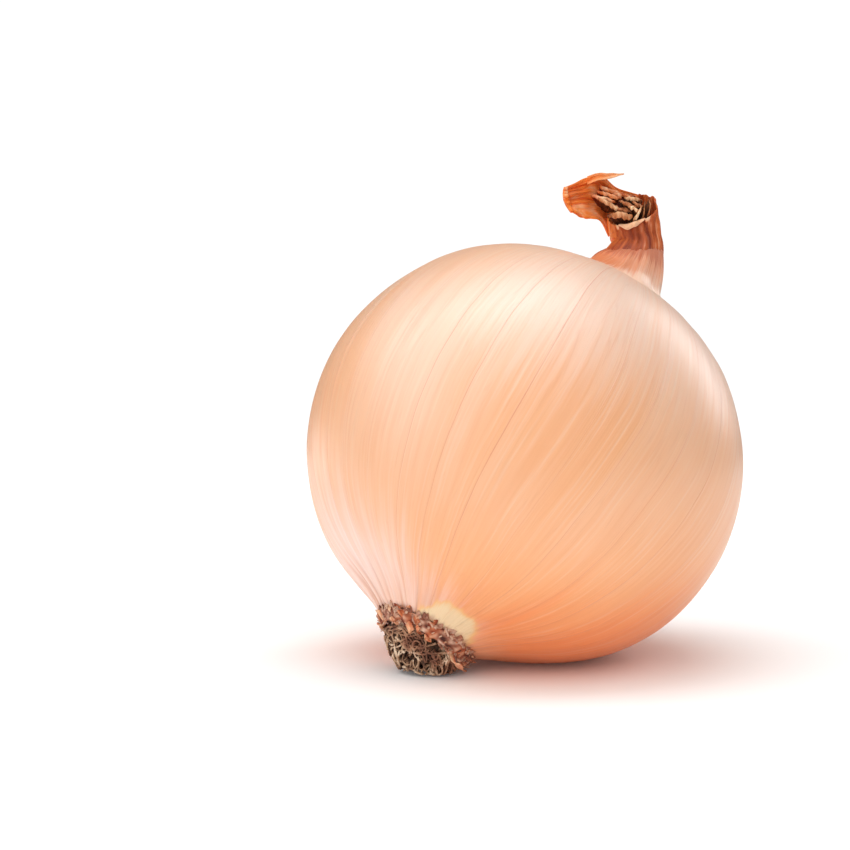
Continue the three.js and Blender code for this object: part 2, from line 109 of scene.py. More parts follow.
def turned(first, second):
    """The smallest turn from one direction to another, in radians."""
    return (first - second + math.pi) % (2 * math.pi) - math.pi


def curve_at(points, share):
    """A smooth line through points, read at a share of its length."""
    place = clamp(share) * (len(points) - 1)
    step = min(int(place), len(points) - 2)
    s = place - step
    b, c = points[step], points[step + 1]
    a = points[step - 1] if step else 2 * b - c
    d = points[step + 2] if step + 2 < len(points) else 2 * c - b
    return 0.5 * (2 * b + (c - a) * s + (2 * a - 5 * b + 4 * c - d) * s**2 + (3 * b - a - 3 * c + d) * s**3)


def vectors(*rows):
    return [Vector(row) for row in rows]


AXIS = TURN @ Vector((0, 0, 1))
print("Root-to-neck direction:", [round(part, 3) for part in AXIS])

# %% [markdown]
# ## Turning a bmesh into a piece
# Every piece goes through the same three steps. Doubled corners are merged, the
# faces are turned outwards, and the mesh becomes an object that rides on the body
# of the onion. Its place is in its mesh, so the object itself sits at the origin.

# %% From bmesh to object


def piece(name, bm, material, node, merge=1e-6):
    """Makes a piece that replaces a CAD node; corners within merge metres are joined."""
    bmesh.ops.remove_doubles(bm, verts=bm.verts, dist=merge)
    bmesh.ops.recalc_face_normals(bm, faces=bm.faces)
    mesh = bpy.data.meshes.new(name)
    bm.to_mesh(mesh)
    bm.free()
    mesh.shade_smooth()
    made = bpy.data.objects.new(name, mesh)
    bpy.context.scene.collection.objects.link(made)
    mesh.materials.append(material)
    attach(made, "root")
    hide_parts(node)
    print(f"{name}: {len(mesh.polygons)} faces")
    return made


def thicken(made, thickness):
    """A sheet gets its thickness, in millimetres, then rounder edges."""
    wall = made.modifiers.new("thickness", "SOLIDIFY")
    wall.thickness = thickness * MM
    wall.offset = 0
    rounding = made.modifiers.new("rounding", "SUBSURF")
    rounding.levels = 1
    rounding.render_levels = 1


# %% [markdown]
# ## Shader maths as Python
# A material is a net of nodes. Writing it as sums and products is far shorter than
# wiring it by hand, so one class wraps a socket and adds a Math node for each
# operator. Any other node comes from one method, node().

# %% Shader helpers


class Shade:
    """A value on its way through a material."""

    def __init__(self, finish, socket):
        self.finish = finish
        self.socket = socket

    def math(self, operation, other=0.0, swapped=False):
        pair = (other, self) if swapped else (self, other)
        return self.finish.node("ShaderNodeMath", {"operation": operation}, {0: pair[0], 1: pair[1]})

    def __add__(self, other):
        return self.math("ADD", other)

    def __radd__(self, other):
        return self.math("ADD", other)

    def __sub__(self, other):
        return self.math("SUBTRACT", other)

    def __rsub__(self, other):
        return self.math("SUBTRACT", other, swapped=True)

    def __mul__(self, other):
        return self.math("MULTIPLY", other)

    def __rmul__(self, other):
        return self.math("MULTIPLY", other)


class Finish:
    """A material in the making."""

    def __init__(self, name):
        self.material = bpy.data.materials.new(name)
        self.material.use_nodes = True
        self.tree = self.material.node_tree
        self.shader = self.tree.nodes["Principled BSDF"]

    def node(self, kind, settings=None, sockets=None, output=0):
        """Adds a node of a kind, sets it, feeds its sockets, and gives one of its outputs."""
        made = self.tree.nodes.new(kind)
        for key, value in (settings or {}).items():
            if key == "stops":
                ramp = made.color_ramp
                while len(ramp.elements) < len(value):
                    ramp.elements.new(0.5)
                for element, (place, colour) in zip(ramp.elements, value):
                    element.position = place
                    element.color = (*colour, 1)
            else:
                setattr(made, key, value)
        for key, value in (sockets or {}).items():
            self.feed(made.inputs[key], value)
        return Shade(self, made.outputs[output])

    def feed(self, socket, value):
        if isinstance(value, Shade):
            self.tree.links.new(value.socket, socket)
        elif socket.type == "RGBA":
            socket.default_value = (*value, 1)
        else:
            socket.default_value = value

    def place(self):
        """Where a point is on the piece, in metres."""
        return self.node("ShaderNodeTexCoord", output="Object")

    def attribute(self, name, output="Fac"):
        return self.node("ShaderNodeAttribute", {"attribute_name": name}, output=output)

    def parts(self, vector):
        """The three numbers of a vector."""
        split = self.node("ShaderNodeSeparateXYZ", None, {0: vector}).socket.node
        return [Shade(self, output) for output in split.outputs]

    def vector(self, x, y, z):
        return self.node("ShaderNodeCombineXYZ", None, {0: x, 1: y, 2: z})

    def noise(self, vector, scale, detail=2.0, roughness=0.5):
        sockets = {"Vector": vector, "Scale": scale, "Detail": detail, "Roughness": roughness}
        return self.node("ShaderNodeTexNoise", None, sockets)

    def step(self, value, low, high, to_low=0.0, to_high=1.0):
        """A soft step from to_low to to_high as value goes from low to high."""
        sockets = {0: value, 1: low, 2: high, 3: to_low, 4: to_high}
        return self.node("ShaderNodeMapRange", {"interpolation_type": "SMOOTHSTEP"}, sockets)

    def mix(self, share, first, second):
        """The first colour, covered by a share of the second."""
        return self.node("ShaderNodeMix", {"data_type": "RGBA"}, {0: share, 6: first, 7: second}, output=2)

    def bump(self, height, distance, strength=1.0):
        """Relief as deep as distance, in millimetres."""
        sockets = {"Height": height, "Distance": distance * MM, "Strength": strength}
        return self.node("ShaderNodeBump", None, sockets)

    def done(self, **sockets):
        """Feeds the shader's own sockets and gives the finished material."""
        for key, value in sockets.items():
            self.feed(self.shader.inputs[key.replace("_", " ")], value)
        print(f"{self.material.name}: {len(self.tree.nodes)} nodes")
        return self.material


# %% [markdown]
# ## Where the veins run
# Thin raised veins run from root to neck in the outermost scale, a little unevenly
# spaced. A list of their longitudes drives both the mesh and the colour, so that a
# ridge and its darker line never part.

# %% Longitudes of the veins
# Degrees round the axis; the veins of the hidden side fill the gap between the others
RIGHT_VEINS = [221.7, 239.5, 251.9, 265.2, 277.3]
LEFT_VEINS = [531.9, 544.6, 558.1, 569.3]
RIGHT_STRENGTHS = [1.0, 0.35, 0.55, 0.6, 0.75]
LEFT_STRENGTHS = [0.6, 0.3, 0.7, 0.75]
HIDDEN_VEINS = 20
UNEVEN = 0.3
vein_random = random.Random(5)
gap = (LEFT_VEINS[0] - RIGHT_VEINS[-1]) / (HIDDEN_VEINS + 1)
hidden = []
for i in range(HIDDEN_VEINS):
    uneven = UNEVEN * (vein_random.random() - 0.5)
    hidden.append(RIGHT_VEINS[-1] + gap * (i + 1 + uneven))
hidden_strengths = [0.3 + 0.6 * vein_random.random() for _ in hidden]
VEINS = [math.radians(turn) for turn in RIGHT_VEINS + hidden + LEFT_VEINS]
VEIN_STRENGTHS = RIGHT_STRENGTHS + hidden_strengths + LEFT_STRENGTHS
COLUMNS_PER_VEIN = 12
COLUMN_CROWDING = 0.11
COLUMNS = len(VEINS) * COLUMNS_PER_VEIN
print(len(VEINS), "veins,", COLUMNS, "columns of points")


def crowded(share, strength):
    """Moves the shares between 0 and 1 towards the two ends."""
    return share - strength * math.sin(2 * math.pi * share)


def longitude_of(column):
    """The columns crowd together on each vein, so that its thin ridge is smooth."""
    vein, step = divmod(column % COLUMNS, COLUMNS_PER_VEIN)
    eased = crowded(step / COLUMNS_PER_VEIN, COLUMN_CROWDING)
    following = VEINS[vein + 1] if vein + 1 < len(VEINS) else VEINS[0] + 2 * math.pi
    return lerp(VEINS[vein], following, eased)


# %% [markdown]
# ## The bulb's round shape
# The outline from root to neck is one smooth formula: a ball with a few long waves,
# a small cone at the root, a shoulder and a collar at the neck.

# %% Outline of the bulb
# Sizes are in millimetres and spreads in radians
BULB_RADIUS = 39.5
SWELLINGS = {2: -0.045, 4: -0.021, 6: -0.009}
CONE_HEIGHT = 6.1
CONE_SPREAD = 0.258
SHOULDER_HEIGHT = 3.0
SHOULDER_SPREAD = 0.289
COLLAR_HEIGHT = 9.2
COLLAR_SPREAD = 0.168
ROOT_FACE = -38.6
COLLAR_TOP = 41.0


def legendre(order, x):
    """A wave along the outline, with more humps the higher its order."""
    older, newer = 1.0, x
    for n in range(2, order + 1):
        older, newer = newer, ((2 * n - 1) * x * newer - (n - 1) * older) / n
    return newer


def bulb_radius(angle):
    """Distance from the bulb's centre to its skin, at an angle from the root."""
    x = math.cos(angle)
    swelling = 1 + sum(share * legendre(order, x) for order, share in SWELLINGS.items())
    to_neck = math.pi - angle
    cone = CONE_HEIGHT * hump(angle, 0, CONE_SPREAD)
    shoulder = SHOULDER_HEIGHT * hump(to_neck, 0, SHOULDER_SPREAD)
    collar = COLLAR_HEIGHT * hump(to_neck, 0, COLLAR_SPREAD)
    return BULB_RADIUS * swelling + (cone + shoulder + collar)


def angle_at(height):
    """The angle where the outline is at a height along the axis, found by halving."""
    low, high = 0.0, math.pi
    for _ in range(40):
        middle = (low + high) / 2
        if -bulb_radius(middle) * math.cos(middle) < height:
            low = middle
        else:
            high = middle
    return low


ROOT_ANGLE = angle_at(ROOT_FACE)
COLLAR_ANGLE = angle_at(COLLAR_TOP)
skin_span = [round(math.degrees(angle), 1) for angle in (ROOT_ANGLE, COLLAR_ANGLE)]
print("The skin runs between", skin_span, "degrees from the root")

# %% [markdown]
# ## The neck's line
# The dried neck leaves the bulb along the onion's axis and straightens up. Its wall
# is an oval that follows this line. The bulb's skin needs it too, because the skin
# ends in the crease around the neck.

# %% Line and wall of the neck
NECK_LINE = vectors(
    (20.1, 17.5, 33.3),
    (21.6, 19.2, 37.05),
    (21.3, 20.1, 39.8),
    (21.0, 20.5, 42.4),
    (20.9, 20.6, 45.0),
    (20.7, 20.5, 47.6),
)
NECK_HALF_WIDTHS = [5.9, 5.1, 4.85, 4.9, 4.9, 4.7]
NECK_HALF_DEPTHS = [5.9, 4.8, 4.3, 4.3, 4.2, 3.9]
CREASE = 37.6
NECK_TURN = math.atan2(math.sin(HEADING), math.cos(HEADING) * math.cos(LEAN))


def between(numbers, share):
    """A list of numbers, read at a share of its length."""
    place = clamp(share) * (len(numbers) - 1)
    low = min(int(place), len(numbers) - 2)
    return lerp(numbers[low], numbers[low + 1], place - low)


def neck_frame(share):
    """Centre, right and back of the neck at a share of its length."""
    centre = curve_at(NECK_LINE, share)
    ahead = (curve_at(NECK_LINE, share + 0.01) - curve_at(NECK_LINE, share - 0.01)).normalized()
    along = AXIS.lerp(ahead, min(1, share / 0.5)).normalized()
    right = (Vector((1, 0, 0)) - along * along.x).normalized()
    return centre, right, along.cross(right)


def neck_point(share, around, inset=0.0):
    """A point of the neck's oval, slightly crumpled, as far inside it as inset."""
    centre, right, back = neck_frame(share)
    wide = between(NECK_HALF_WIDTHS, share) - inset
    deep = between(NECK_HALF_DEPTHS, share) - inset
    crumple = 1 + 0.05 * math.cos(5 * around + 4 * share) * min(1, 3 * share)
    aside = right * (wide * crumple * math.cos(around))
    return centre + aside + back * (deep * crumple * math.sin(around))


def neck_at_height(around, height, inset=0.0):
    """The point of the neck's oval that is at a height above the bulb's centre."""
    low, high = 0.0, 1.0
    for _ in range(24):
        middle = (low + high) / 2
        if neck_point(middle, around, inset).z < height:
            low = middle
        else:
            high = middle
    return neck_point(low, around, inset)


print("Crease", round(CENTRE.z + CREASE, 1), "mm above the floor")

# %% [markdown]
# ## The skin of the bulb
# The skin is a UV sphere whose rings and columns are moved on to the outline. Lathe
# work by spinning a profile would give the same rings, but the sphere is closed at
# both ends from the start. Its relief is a sum: veins, the soft bulge of the skin
# between them, long waves, pleats that gather at the root, folds below the neck, and
# a step down where the outermost scale has flaked off beside the root.

# %% Relief of the skin
# Heights and depths in millimetres
RIDGE_HEIGHT = 0.09
BULGE_HEIGHT = 0.05
WAVE_HEIGHT = 0.22
RIPPLE_HEIGHT = 0.07
PLEAT_DEPTH = 0.3
FOLD_DEPTH = 0.8
PEEL_DEPTH = 0.1
RIDGE_COLUMNS = 1.3
PATCH_SIDE = math.radians(242)
PATCH_REACH = 0.43
PLEATED_SIDE = math.radians(150)


def wander(longitude, angle):
    """Veins don't run quite straight, radians."""
    spot = Vector((2 * math.cos(longitude), 2 * math.sin(longitude), 1.5 * angle))
    return 0.03 * noise.noise(spot) * math.sin(angle) + 0.004 * noise.noise(spot * 5)


def peel(longitude, angle):
    """1 where the outermost scale has flaked off beside the root, else 0."""
    side = turned(longitude, PATCH_SIDE)
    ragged = 0.03 * noise.noise(Vector((9 * side, 14 * angle, 3.1)))
    reach = PATCH_REACH - 0.14 * smooth(-side, 0.12, 0.6) - 0.12 * smooth(side, 0.2, 0.75) + ragged
    left = smooth(side, math.radians(-40), math.radians(-31))
    right = 1 - smooth(side, 0.35, 0.95)
    return left * right * (1 - smooth(angle, reach - 0.1, reach + 0.01))


def pleats(longitude, angle):
    """Creases where the skin gathers at the root, 0 to 1."""
    gathered = 0.35 + 0.65 * hump(turned(longitude, PLEATED_SIDE), 0, 0.75)
    reach = lerp(0.16, 0.42, gathered)
    near = 1 - smooth(angle, ROOT_ANGLE + 0.02, ROOT_ANGLE + reach)
    spot = Vector((7 * math.cos(longitude), 7 * math.sin(longitude), 1.2 * angle))
    crease = 1 - min(1, abs(noise.noise(spot)) * 4)
    return near * gathered * crease * (1 - 0.9 * peel(longitude, angle))


def folds(longitude, angle):
    """Soft twisted folds in the shoulder, 0 to 1."""
    near = hump(COLLAR_ANGLE - angle, 0.03, 0.13)
    twisted = longitude + 1.2 * angle
    spot = Vector((3.2 * math.cos(twisted), 3.2 * math.sin(twisted), 0.5))
    return near * clamp(0.5 + 0.9 * noise.noise(spot))


def relief(column, longitude, angle):
    """Height of the skin over the outline, in millimetres."""
    vein, step = divmod(column % COLUMNS, COLUMNS_PER_VEIN)
    nearest = vein if step < COLUMNS_PER_VEIN / 2 else (vein + 1) % len(VEINS)
    off = min(step, COLUMNS_PER_VEIN - step)
    open_skin = min(1, (angle - ROOT_ANGLE) / 0.2, (COLLAR_ANGLE - angle) / 0.3)
    ridge = RIDGE_HEIGHT * VEIN_STRENGTHS[nearest] * hump(off, 0, RIDGE_COLUMNS)
    bulge = BULGE_HEIGHT * math.sin(math.pi * step / COLUMNS_PER_VEIN)
    spot = Vector((math.cos(longitude), math.sin(longitude), angle))
    long_spot = Vector((spot.x * 9, spot.y * 9, spot.z * 2.5))
    waves = WAVE_HEIGHT * noise.noise(spot * 2.6) + RIPPLE_HEIGHT * noise.noise(long_spot)
    return (
        (ridge + bulge) * max(0, open_skin)
        + waves
        - PLEAT_DEPTH * pleats(longitude, angle)
        - FOLD_DEPTH * folds(longitude, angle)
        - PEEL_DEPTH * peel(longitude, angle)
    )


highest_ridge = RIDGE_HEIGHT * max(VEIN_STRENGTHS)
print("The strongest vein stands", highest_ridge, "mm over the skin")


# %% [markdown]
# ## From rows and columns to points
# A row and a column of the sphere each stand for one point of the skin. Rows start
# in the middle of the root's face, run over the bulb to the collar and up to the
# crease, and end in a lip inside it. The lowest part is pressed flat, because a
# fresh bulb beds down where it lies.

# %% Points of the skin
FACE_ROWS = 3
SKIN_ROWS = 190
COLLAR_ROWS = 14
LIP_ROWS = 4
ROWS = FACE_ROWS + SKIN_ROWS + COLLAR_ROWS + LIP_ROWS + 1
ROW_CROWDING = 0.09
FACE_DISH = 0.4
NADIR_DEPTH = 39.25
PRESS_REACH = 9.0
PRESS = 1.8
CREASE_INSET = 0.12


def pressed(point):
    """The lowest part of the bulb settles flat on the floor."""
    height = point.z + NADIR_DEPTH
    if height < PRESS_REACH:
        point.z += PRESS * (1 - height / PRESS_REACH) ** 2
    point.z = max(point.z, -CENTRE.z + 0.002)
    return point


def outline_point(column, longitude, angle):
    """A point of the skin from the bulb's centre, in millimetres."""
    longitude += wander(longitude, angle)
    radius = bulb_radius(angle) + relief(column, longitude, angle)
    flat = radius * math.sin(angle)
    local = Vector((flat * math.cos(longitude), flat * math.sin(longitude), -radius * math.cos(angle)))
    return pressed(TURN @ local)


def collar_point(column, longitude, row):
    """A point in the rows that run from the collar up to the crease and down inside it."""
    collar = outline_point(column, longitude, COLLAR_ANGLE)
    around = longitude + NECK_TURN
    spot = Vector((2 * math.cos(around), 2 * math.sin(around), 8))
    edge = CREASE + 0.3 * noise.noise(spot) + 0.4 * noise.noise(spot * 4)
    crease = neck_at_height(around, edge, CREASE_INSET)
    above = row / COLLAR_ROWS
    if above <= 1:
        point = collar.lerp(crease, above)
        out = (point - neck_frame(0.1)[0]).normalized()
        spot = Vector((4 * math.cos(around), 4 * math.sin(around), 0.6 * above))
        uneven = 0.5 * noise.noise(spot) * math.sin(math.pi * min(1, 0.15 + above))
        return point + out * (0.45 * math.sin(math.pi * above) + uneven)
    inner = neck_at_height(around, CREASE - 1.2, 0.6)
    middle = neck_at_height(0, CREASE - 1.4, 5)
    below = (row - COLLAR_ROWS) / (LIP_ROWS + 1)
    return crease.lerp(inner, min(1, below * 1.6)).lerp(middle, smooth(below, 0.5, 1))


def angle_of(row):
    """The rows crowd together at the root and at the collar."""
    share = clamp((row - FACE_ROWS) / SKIN_ROWS)
    return lerp(ROOT_ANGLE, COLLAR_ANGLE, crowded(share, ROW_CROWDING))


def skin_point(column, row):
    longitude = longitude_of(column)
    if row < FACE_ROWS:
        edge = outline_point(column, longitude, ROOT_ANGLE)
        middle = TURN @ Vector((0, 0, ROOT_FACE + FACE_DISH))
        return middle.lerp(edge, row / FACE_ROWS)
    if row <= FACE_ROWS + SKIN_ROWS:
        return outline_point(column, longitude, angle_of(row))
    return collar_point(column, longitude, row - FACE_ROWS - SKIN_ROWS)


print("The lowest part is pressed up by", PRESS, "mm at the most")

# %% [markdown]
# ## Moving the sphere's points
# Each point learns its row and column from where it is on the sphere, and then moves
# to its place. Three layers go along for the colours: the vein map, how strong the
# nearest vein is, and how flaked or pleated the skin is at that point.

# %% Build the skin
skin_mesh = bmesh.new()
vein_map = skin_mesh.loops.layers.uv.new("veins")
zones = skin_mesh.verts.layers.float_vector.new("zones")
veined = skin_mesh.verts.layers.float.new("veined")
bmesh.ops.create_uvsphere(skin_mesh, u_segments=COLUMNS, v_segments=ROWS, radius=1)
where = {}
for vert in skin_mesh.verts:
    row = round(math.acos(clamp(-vert.co.z, -1, 1)) / math.pi * ROWS)
    column = round(math.atan2(vert.co.y, vert.co.x) / (2 * math.pi) * COLUMNS) % COLUMNS
    where[vert] = (column, row)
for vert, (column, row) in where.items():
    longitude = longitude_of(column)
    angle = angle_of(row)
    vert[veined] = VEIN_STRENGTHS[round(column / COLUMNS_PER_VEIN) % len(VEINS)]
    vert[zones] = (peel(longitude, angle), pleats(longitude, angle), 0)
    vert.co = (CENTRE + skin_point(column, row)) * MM
for face in skin_mesh.faces:
    columns = [where[loop.vert][0] for loop in face.loops if where[loop.vert][1] not in (0, ROWS)]
    wraps = max(columns) - min(columns) > COLUMNS / 2
    for loop in face.loops:
        column, row = where[loop.vert]
        if row in (0, ROWS):
            column = sum(columns) / len(columns)
        elif wraps and column < COLUMNS / 2:
            column += COLUMNS
        loop[vein_map].uv = (column / COLUMNS_PER_VEIN, row / ROWS)
print("Skin:", len(skin_mesh.verts), "points in", ROWS, "rows")

# %% [markdown]
# ## The skin's finish
# Dry onion skin is thin, satiny and a little see-through. Its colour goes from pale
# gold over the top, partly its dry film and partly a painted highlight, to deep orange
# underneath, partly its own colour and partly painted shade. Along the veins run fine
# fibres, which show as streaks in colour and in gloss. The vein map counts veins
# across, so a line at each whole number is a vein, and its angle gives streaks without
# a seam.

# %% Finish of the skin: masks
skin = Finish("onion_skin")
across, along, _ = skin.parts(skin.node("ShaderNodeUVMap", {"uv_map": "veins"}))
peeled, pleated, _ = skin.parts(skin.attribute("zones", "Vector"))
bearing = across * (2 * math.pi / len(VEINS))
east = bearing.math("COSINE")
north = bearing.math("SINE")
spot = skin.place()
height = skin.parts(spot)[2]


def streaks(around, down, detail=2.0):
    """Streaks from root to neck, so many around the bulb and so many along it."""
    vector = skin.vector(east * around, north * around, along * down)
    return skin.noise(vector, 1.0, detail, 0.55)


fine = streaks(75, 7, 3)
middle_streaks = streaks(30, 4)
broad = streaks(9, 2.5)
cloud = skin.noise(spot, 28, 3)
blotch = skin.noise(spot, 260, 3, 0.6)
fibre = 1 - skin.step((middle_streaks - 0.5).math("ABSOLUTE"), 0.0, 0.02)

vein_off = ((across + 0.5).math("FRACT") - 0.5).math("ABSOLUTE")
vein_line = 1 - skin.step(vein_off, 0.008, 0.035)
vein_fade = skin.step(streaks(4, 9, 1), 0.3, 0.6, 0.35, 1)
vein_tint = vein_line * vein_fade * skin.attribute("veined")
print("Masks:", len(skin.tree.nodes), "nodes so far")

# %% [markdown]
# ## Zones of the skin
# Some places have a colour of their own: the root end and the collar. Others carry
# painted light: pale painted highlights on both cheeks and near the top, a painted
# shade of deeper orange along the left and top rims, and darker skin where it turns
# into the crease, painted shade. The underside is deeper orange, partly its own colour
# and partly painted shade, and over the belly the top's painted highlight is held
# back. Each zone is a distance from a point, or a height, that is disturbed by the
# streaks, so that its edge runs out along the fibres as it does on a real onion.

# %% Finish of the skin: zones
BELLY = (0.0029, -0.0404, 0.0463)
LEFT_CHEEK = (-0.033, -0.021, 0.014)
RIGHT_CHEEK = (0.031, -0.012, 0.058)
CREASE_CENTRE = (0.0185, 0.0172, 0.0745)
LEFT_RIM = (-0.040, -0.006, 0.053)
TOP_RIM = (-0.014, -0.004, 0.078)
TOP_CHEEK = (0.006, -0.027, 0.067)


def zone(centre, inner, outer, wobble):
    """1 within inner metres of a point, 0 beyond outer, with a streaky edge between."""
    away = skin.node("ShaderNodeVectorMath", {"operation": "DISTANCE"}, {0: spot, 1: centre}, "Value")
    return 1 - skin.step(away + wobble, inner, outer)


wide_edge = (broad - 0.5) * 0.02
# The skin is paler towards the top, partly its dry film and partly a painted highlight; over the belly the
# painted highlight is held back
belly_highlight_gap = zone(BELLY, 0.004, 0.026, (broad - 0.5) * 0.03)
dry = skin.step(height + (cloud - 0.5) * 0.03, 0.012, 0.07) * (1 - 0.75 * belly_highlight_gap)
# Deeper orange underneath: partly the skin's own colour, partly painted shade
lowness = 1 - skin.step(height + (broad - 0.5) * 0.014, 0.004, 0.024)
rootness = 1 - skin.step(along + (middle_streaks - 0.5) * 0.1, 0.04, 0.16)
# Pale pink patches on the left and right cheeks: painted highlights
left_highlight = zone(LEFT_CHEEK, 0.004, 0.026, wide_edge + (middle_streaks - 0.5) * 0.01)
right_highlight = zone(RIGHT_CHEEK, 0.002, 0.028, (broad - 0.5) * 0.03 + (fine - 0.5) * 0.02)
left_of_neck = skin.step(skin.parts(spot)[0], 0.023, 0.012)
neckness = zone(CREASE_CENTRE, 0.0074, 0.0112, (middle_streaks - 0.5) * 0.005 - left_of_neck * 0.0038)
# Darker still where the skin turns into the crease: painted shade
lip = zone(CREASE_CENTRE, 0.0062, 0.0080, (middle_streaks - 0.5) * 0.006)
# Deeper, more saturated orange along the left and top rims: painted shade
left_rim = zone(LEFT_RIM, 0.008, 0.027, wide_edge)
top_rim = zone(TOP_RIM, 0.006, 0.022, wide_edge)
painted_rim_shade = 0.6 * left_rim + 0.35 * top_rim
# A pale pink patch near the top: a painted highlight
top_highlight = zone(TOP_CHEEK, 0.004, 0.024, wide_edge + (fine - 0.5) * 0.02)
skirt = 1 - skin.step(along + (middle_streaks - 0.5) * 0.05, 0.012, 0.045)
print("Zones:", len(skin.tree.nodes), "nodes so far")

# %% [markdown]
# ## Layers of colour
# The colour is built like glazes in paint. Each layer covers what is under it by a
# share: first the broad zones, then the streaks and fibres, then the veins and the
# pleats, and last the patch where the next scale shows.

# %% Finish of the skin: colours
ORANGE = (0.92, 0.40, 0.145)
PALE_FILM_AND_HIGHLIGHT = (0.97, 0.63, 0.45)
DEEP = (0.93, 0.24, 0.04)
RIM_SHADE = (0.97, 0.43, 0.17)
# Pale pinks of the painted highlights
TOP_HIGHLIGHT = (0.97, 0.74, 0.64)
LEFT_HIGHLIGHT = (0.97, 0.74, 0.67)
RIGHT_HIGHLIGHT = (0.88, 0.62, 0.52)
ROOT_BLUSH = (0.95, 0.58, 0.38)
COLLAR_RUST = (0.68, 0.15, 0.015)
LIP_SHADE = (0.50, 0.085, 0.01)
glazes = [
    (painted_rim_shade, RIM_SHADE),
    (top_highlight * 0.35, TOP_HIGHLIGHT),
    (lowness * 0.9, DEEP),
    (left_highlight * 0.85, LEFT_HIGHLIGHT),
    (right_highlight * 0.4, RIGHT_HIGHLIGHT),
    (rootness * 0.3, ROOT_BLUSH),
    (neckness * (left_of_neck * 0.35 + 0.6), COLLAR_RUST),
    (lip * 0.8, LIP_SHADE),
]
warm = skin.mix(dry, ORANGE, PALE_FILM_AND_HIGHLIGHT)
for share, tint in glazes:
    warm = skin.mix(share, warm, tint)
print("Broad glazes:", len(glazes))

# %% Finish of the skin: streaks, veins and patch
MIDDLE_STREAK = (0.80, 0.28, 0.10)
FINE_STREAK = (0.78, 0.27, 0.10)
PALE_STREAK = (0.99, 0.78, 0.60)
FIBRE = (0.62, 0.20, 0.08)
VEIN = (0.74, 0.17, 0.07)
# Darker in the pleats at the root: painted shade in the creases
PLEAT_SHADE = (0.60, 0.21, 0.08)
PATCH_EDGE = (0.92, 0.50, 0.17)
PATCH_CREAM = (0.90, 0.68, 0.40)
SKIRT = (0.40, 0.15, 0.08)
lines_of_colour = [
    (skin.step(middle_streaks, 0.5, 0.75) * 0.16, MIDDLE_STREAK),
    (skin.step(fine, 0.5, 0.78) * 0.22, FINE_STREAK),
    (skin.step(fine, 0.5, 0.25) * 0.18, PALE_STREAK),
    (fibre * 0.10, FIBRE),
    (vein_tint * 0.6, VEIN),
    (pleated * 0.8, PLEAT_SHADE),
]
for share, tint in lines_of_colour:
    warm = skin.mix(share, warm, tint)
thin = skin.step(peeled + (blotch - 0.5) * 0.4 + (fine - 0.5) * 0.6, 0.35, 1.0)
scale_under = skin.mix(thin, PATCH_EDGE, PATCH_CREAM)
bared = skin.step(peeled + (fine - 0.5) * 0.35 + (middle_streaks - 0.5) * 0.5, 0.08, 0.62)
colour = skin.mix(bared, warm, scale_under)
colour = skin.mix(skirt * 0.65, colour, SKIRT)
print("Lines of colour:", len(lines_of_colour))

# %% [markdown]
# ## Gloss and grain
# The same streaks make the relief, so that colour and grain agree. A thin coat over
# the skin gives its satin sheen. The collar is dry and has none.

# %% Finish of the skin: gloss and grain
GRAIN_DEPTH = 0.2
grain_height = fine * 0.45 + middle_streaks * 0.4 + streaks(130, 9) * 0.08 + vein_line * 0.12
grain = skin.bump(grain_height, GRAIN_DEPTH, 0.85)
skin_finish = skin.done(
    Base_Color=colour,
    Roughness=skin.step(fine, 0.3, 0.7, 0.36, 0.48) + neckness * 0.3,
    Normal=grain,
    Specular_IOR_Level=1.0,
    Subsurface_Weight=0.1,
    Subsurface_Radius=(0.006, 0.003, 0.0015),
    Subsurface_Scale=1.0,
    Coat_Weight=0.45 * (1 - neckness),
    Coat_Roughness=0.35,
)
piece("bulb_skin", skin_mesh, skin_finish, "bulb")

# %% [markdown]
# ## Sheets of dried skin
# The neck is a bundle of dried scales: a wall, a flap and curled inner layers. Each
# is a grid whose points are moved on to a formula of two shares, u across and v
# along. The formula also gives a tone, dark in the grooves, a painted shade, and pale
# on the ridges, a painted highlight, which the mesh stores for the colour.

# %% Sheet helper
ABOVE_FLOOR = 0.3


def sheet_points(bm, place, across, along):
    """A grid on place(u, v), which gives a point from the bulb's centre, a tone and a glow."""
    lowest = ABOVE_FLOOR - CENTRE.z
    tone = bm.verts.layers.float["tone"]
    glow = bm.verts.layers.float["glow"]
    made = bmesh.ops.create_grid(bm, x_segments=across, y_segments=along, size=0.5, calc_uvs=True)
    for vert in made["verts"]:
        point, vert[tone], vert[glow] = place(vert.co.x + 0.5, vert.co.y + 0.5)
        point.z = max(point.z, lowest)
        vert.co = (CENTRE + point) * MM


def sheet_mesh():
    """An empty mesh with the layers that sheet_points fills."""
    bm = bmesh.new()
    bm.loops.layers.uv.new("sheet")
    bm.verts.layers.float.new("tone")
    bm.verts.layers.float.new("glow")
    return bm


def neck_sheet(name, place, across, along, thickness, material):
    bm = sheet_mesh()
    sheet_points(bm, place, across, along)
    thicken(piece(name, bm, material, "neck"), thickness)


def ripple(x, y, seed=0.0):
    """A smooth random number, mostly between -0.7 and 0.7."""
    return noise.noise(Vector((x, y, seed)))


def ripple_round(around, times, along, seed=0.0):
    """The same on a ring, so that it closes."""
    return ripple(times * math.cos(around), times * math.sin(around), along + 7.3 * seed)


print("Sheets stay", ABOVE_FLOOR, "mm above the floor")
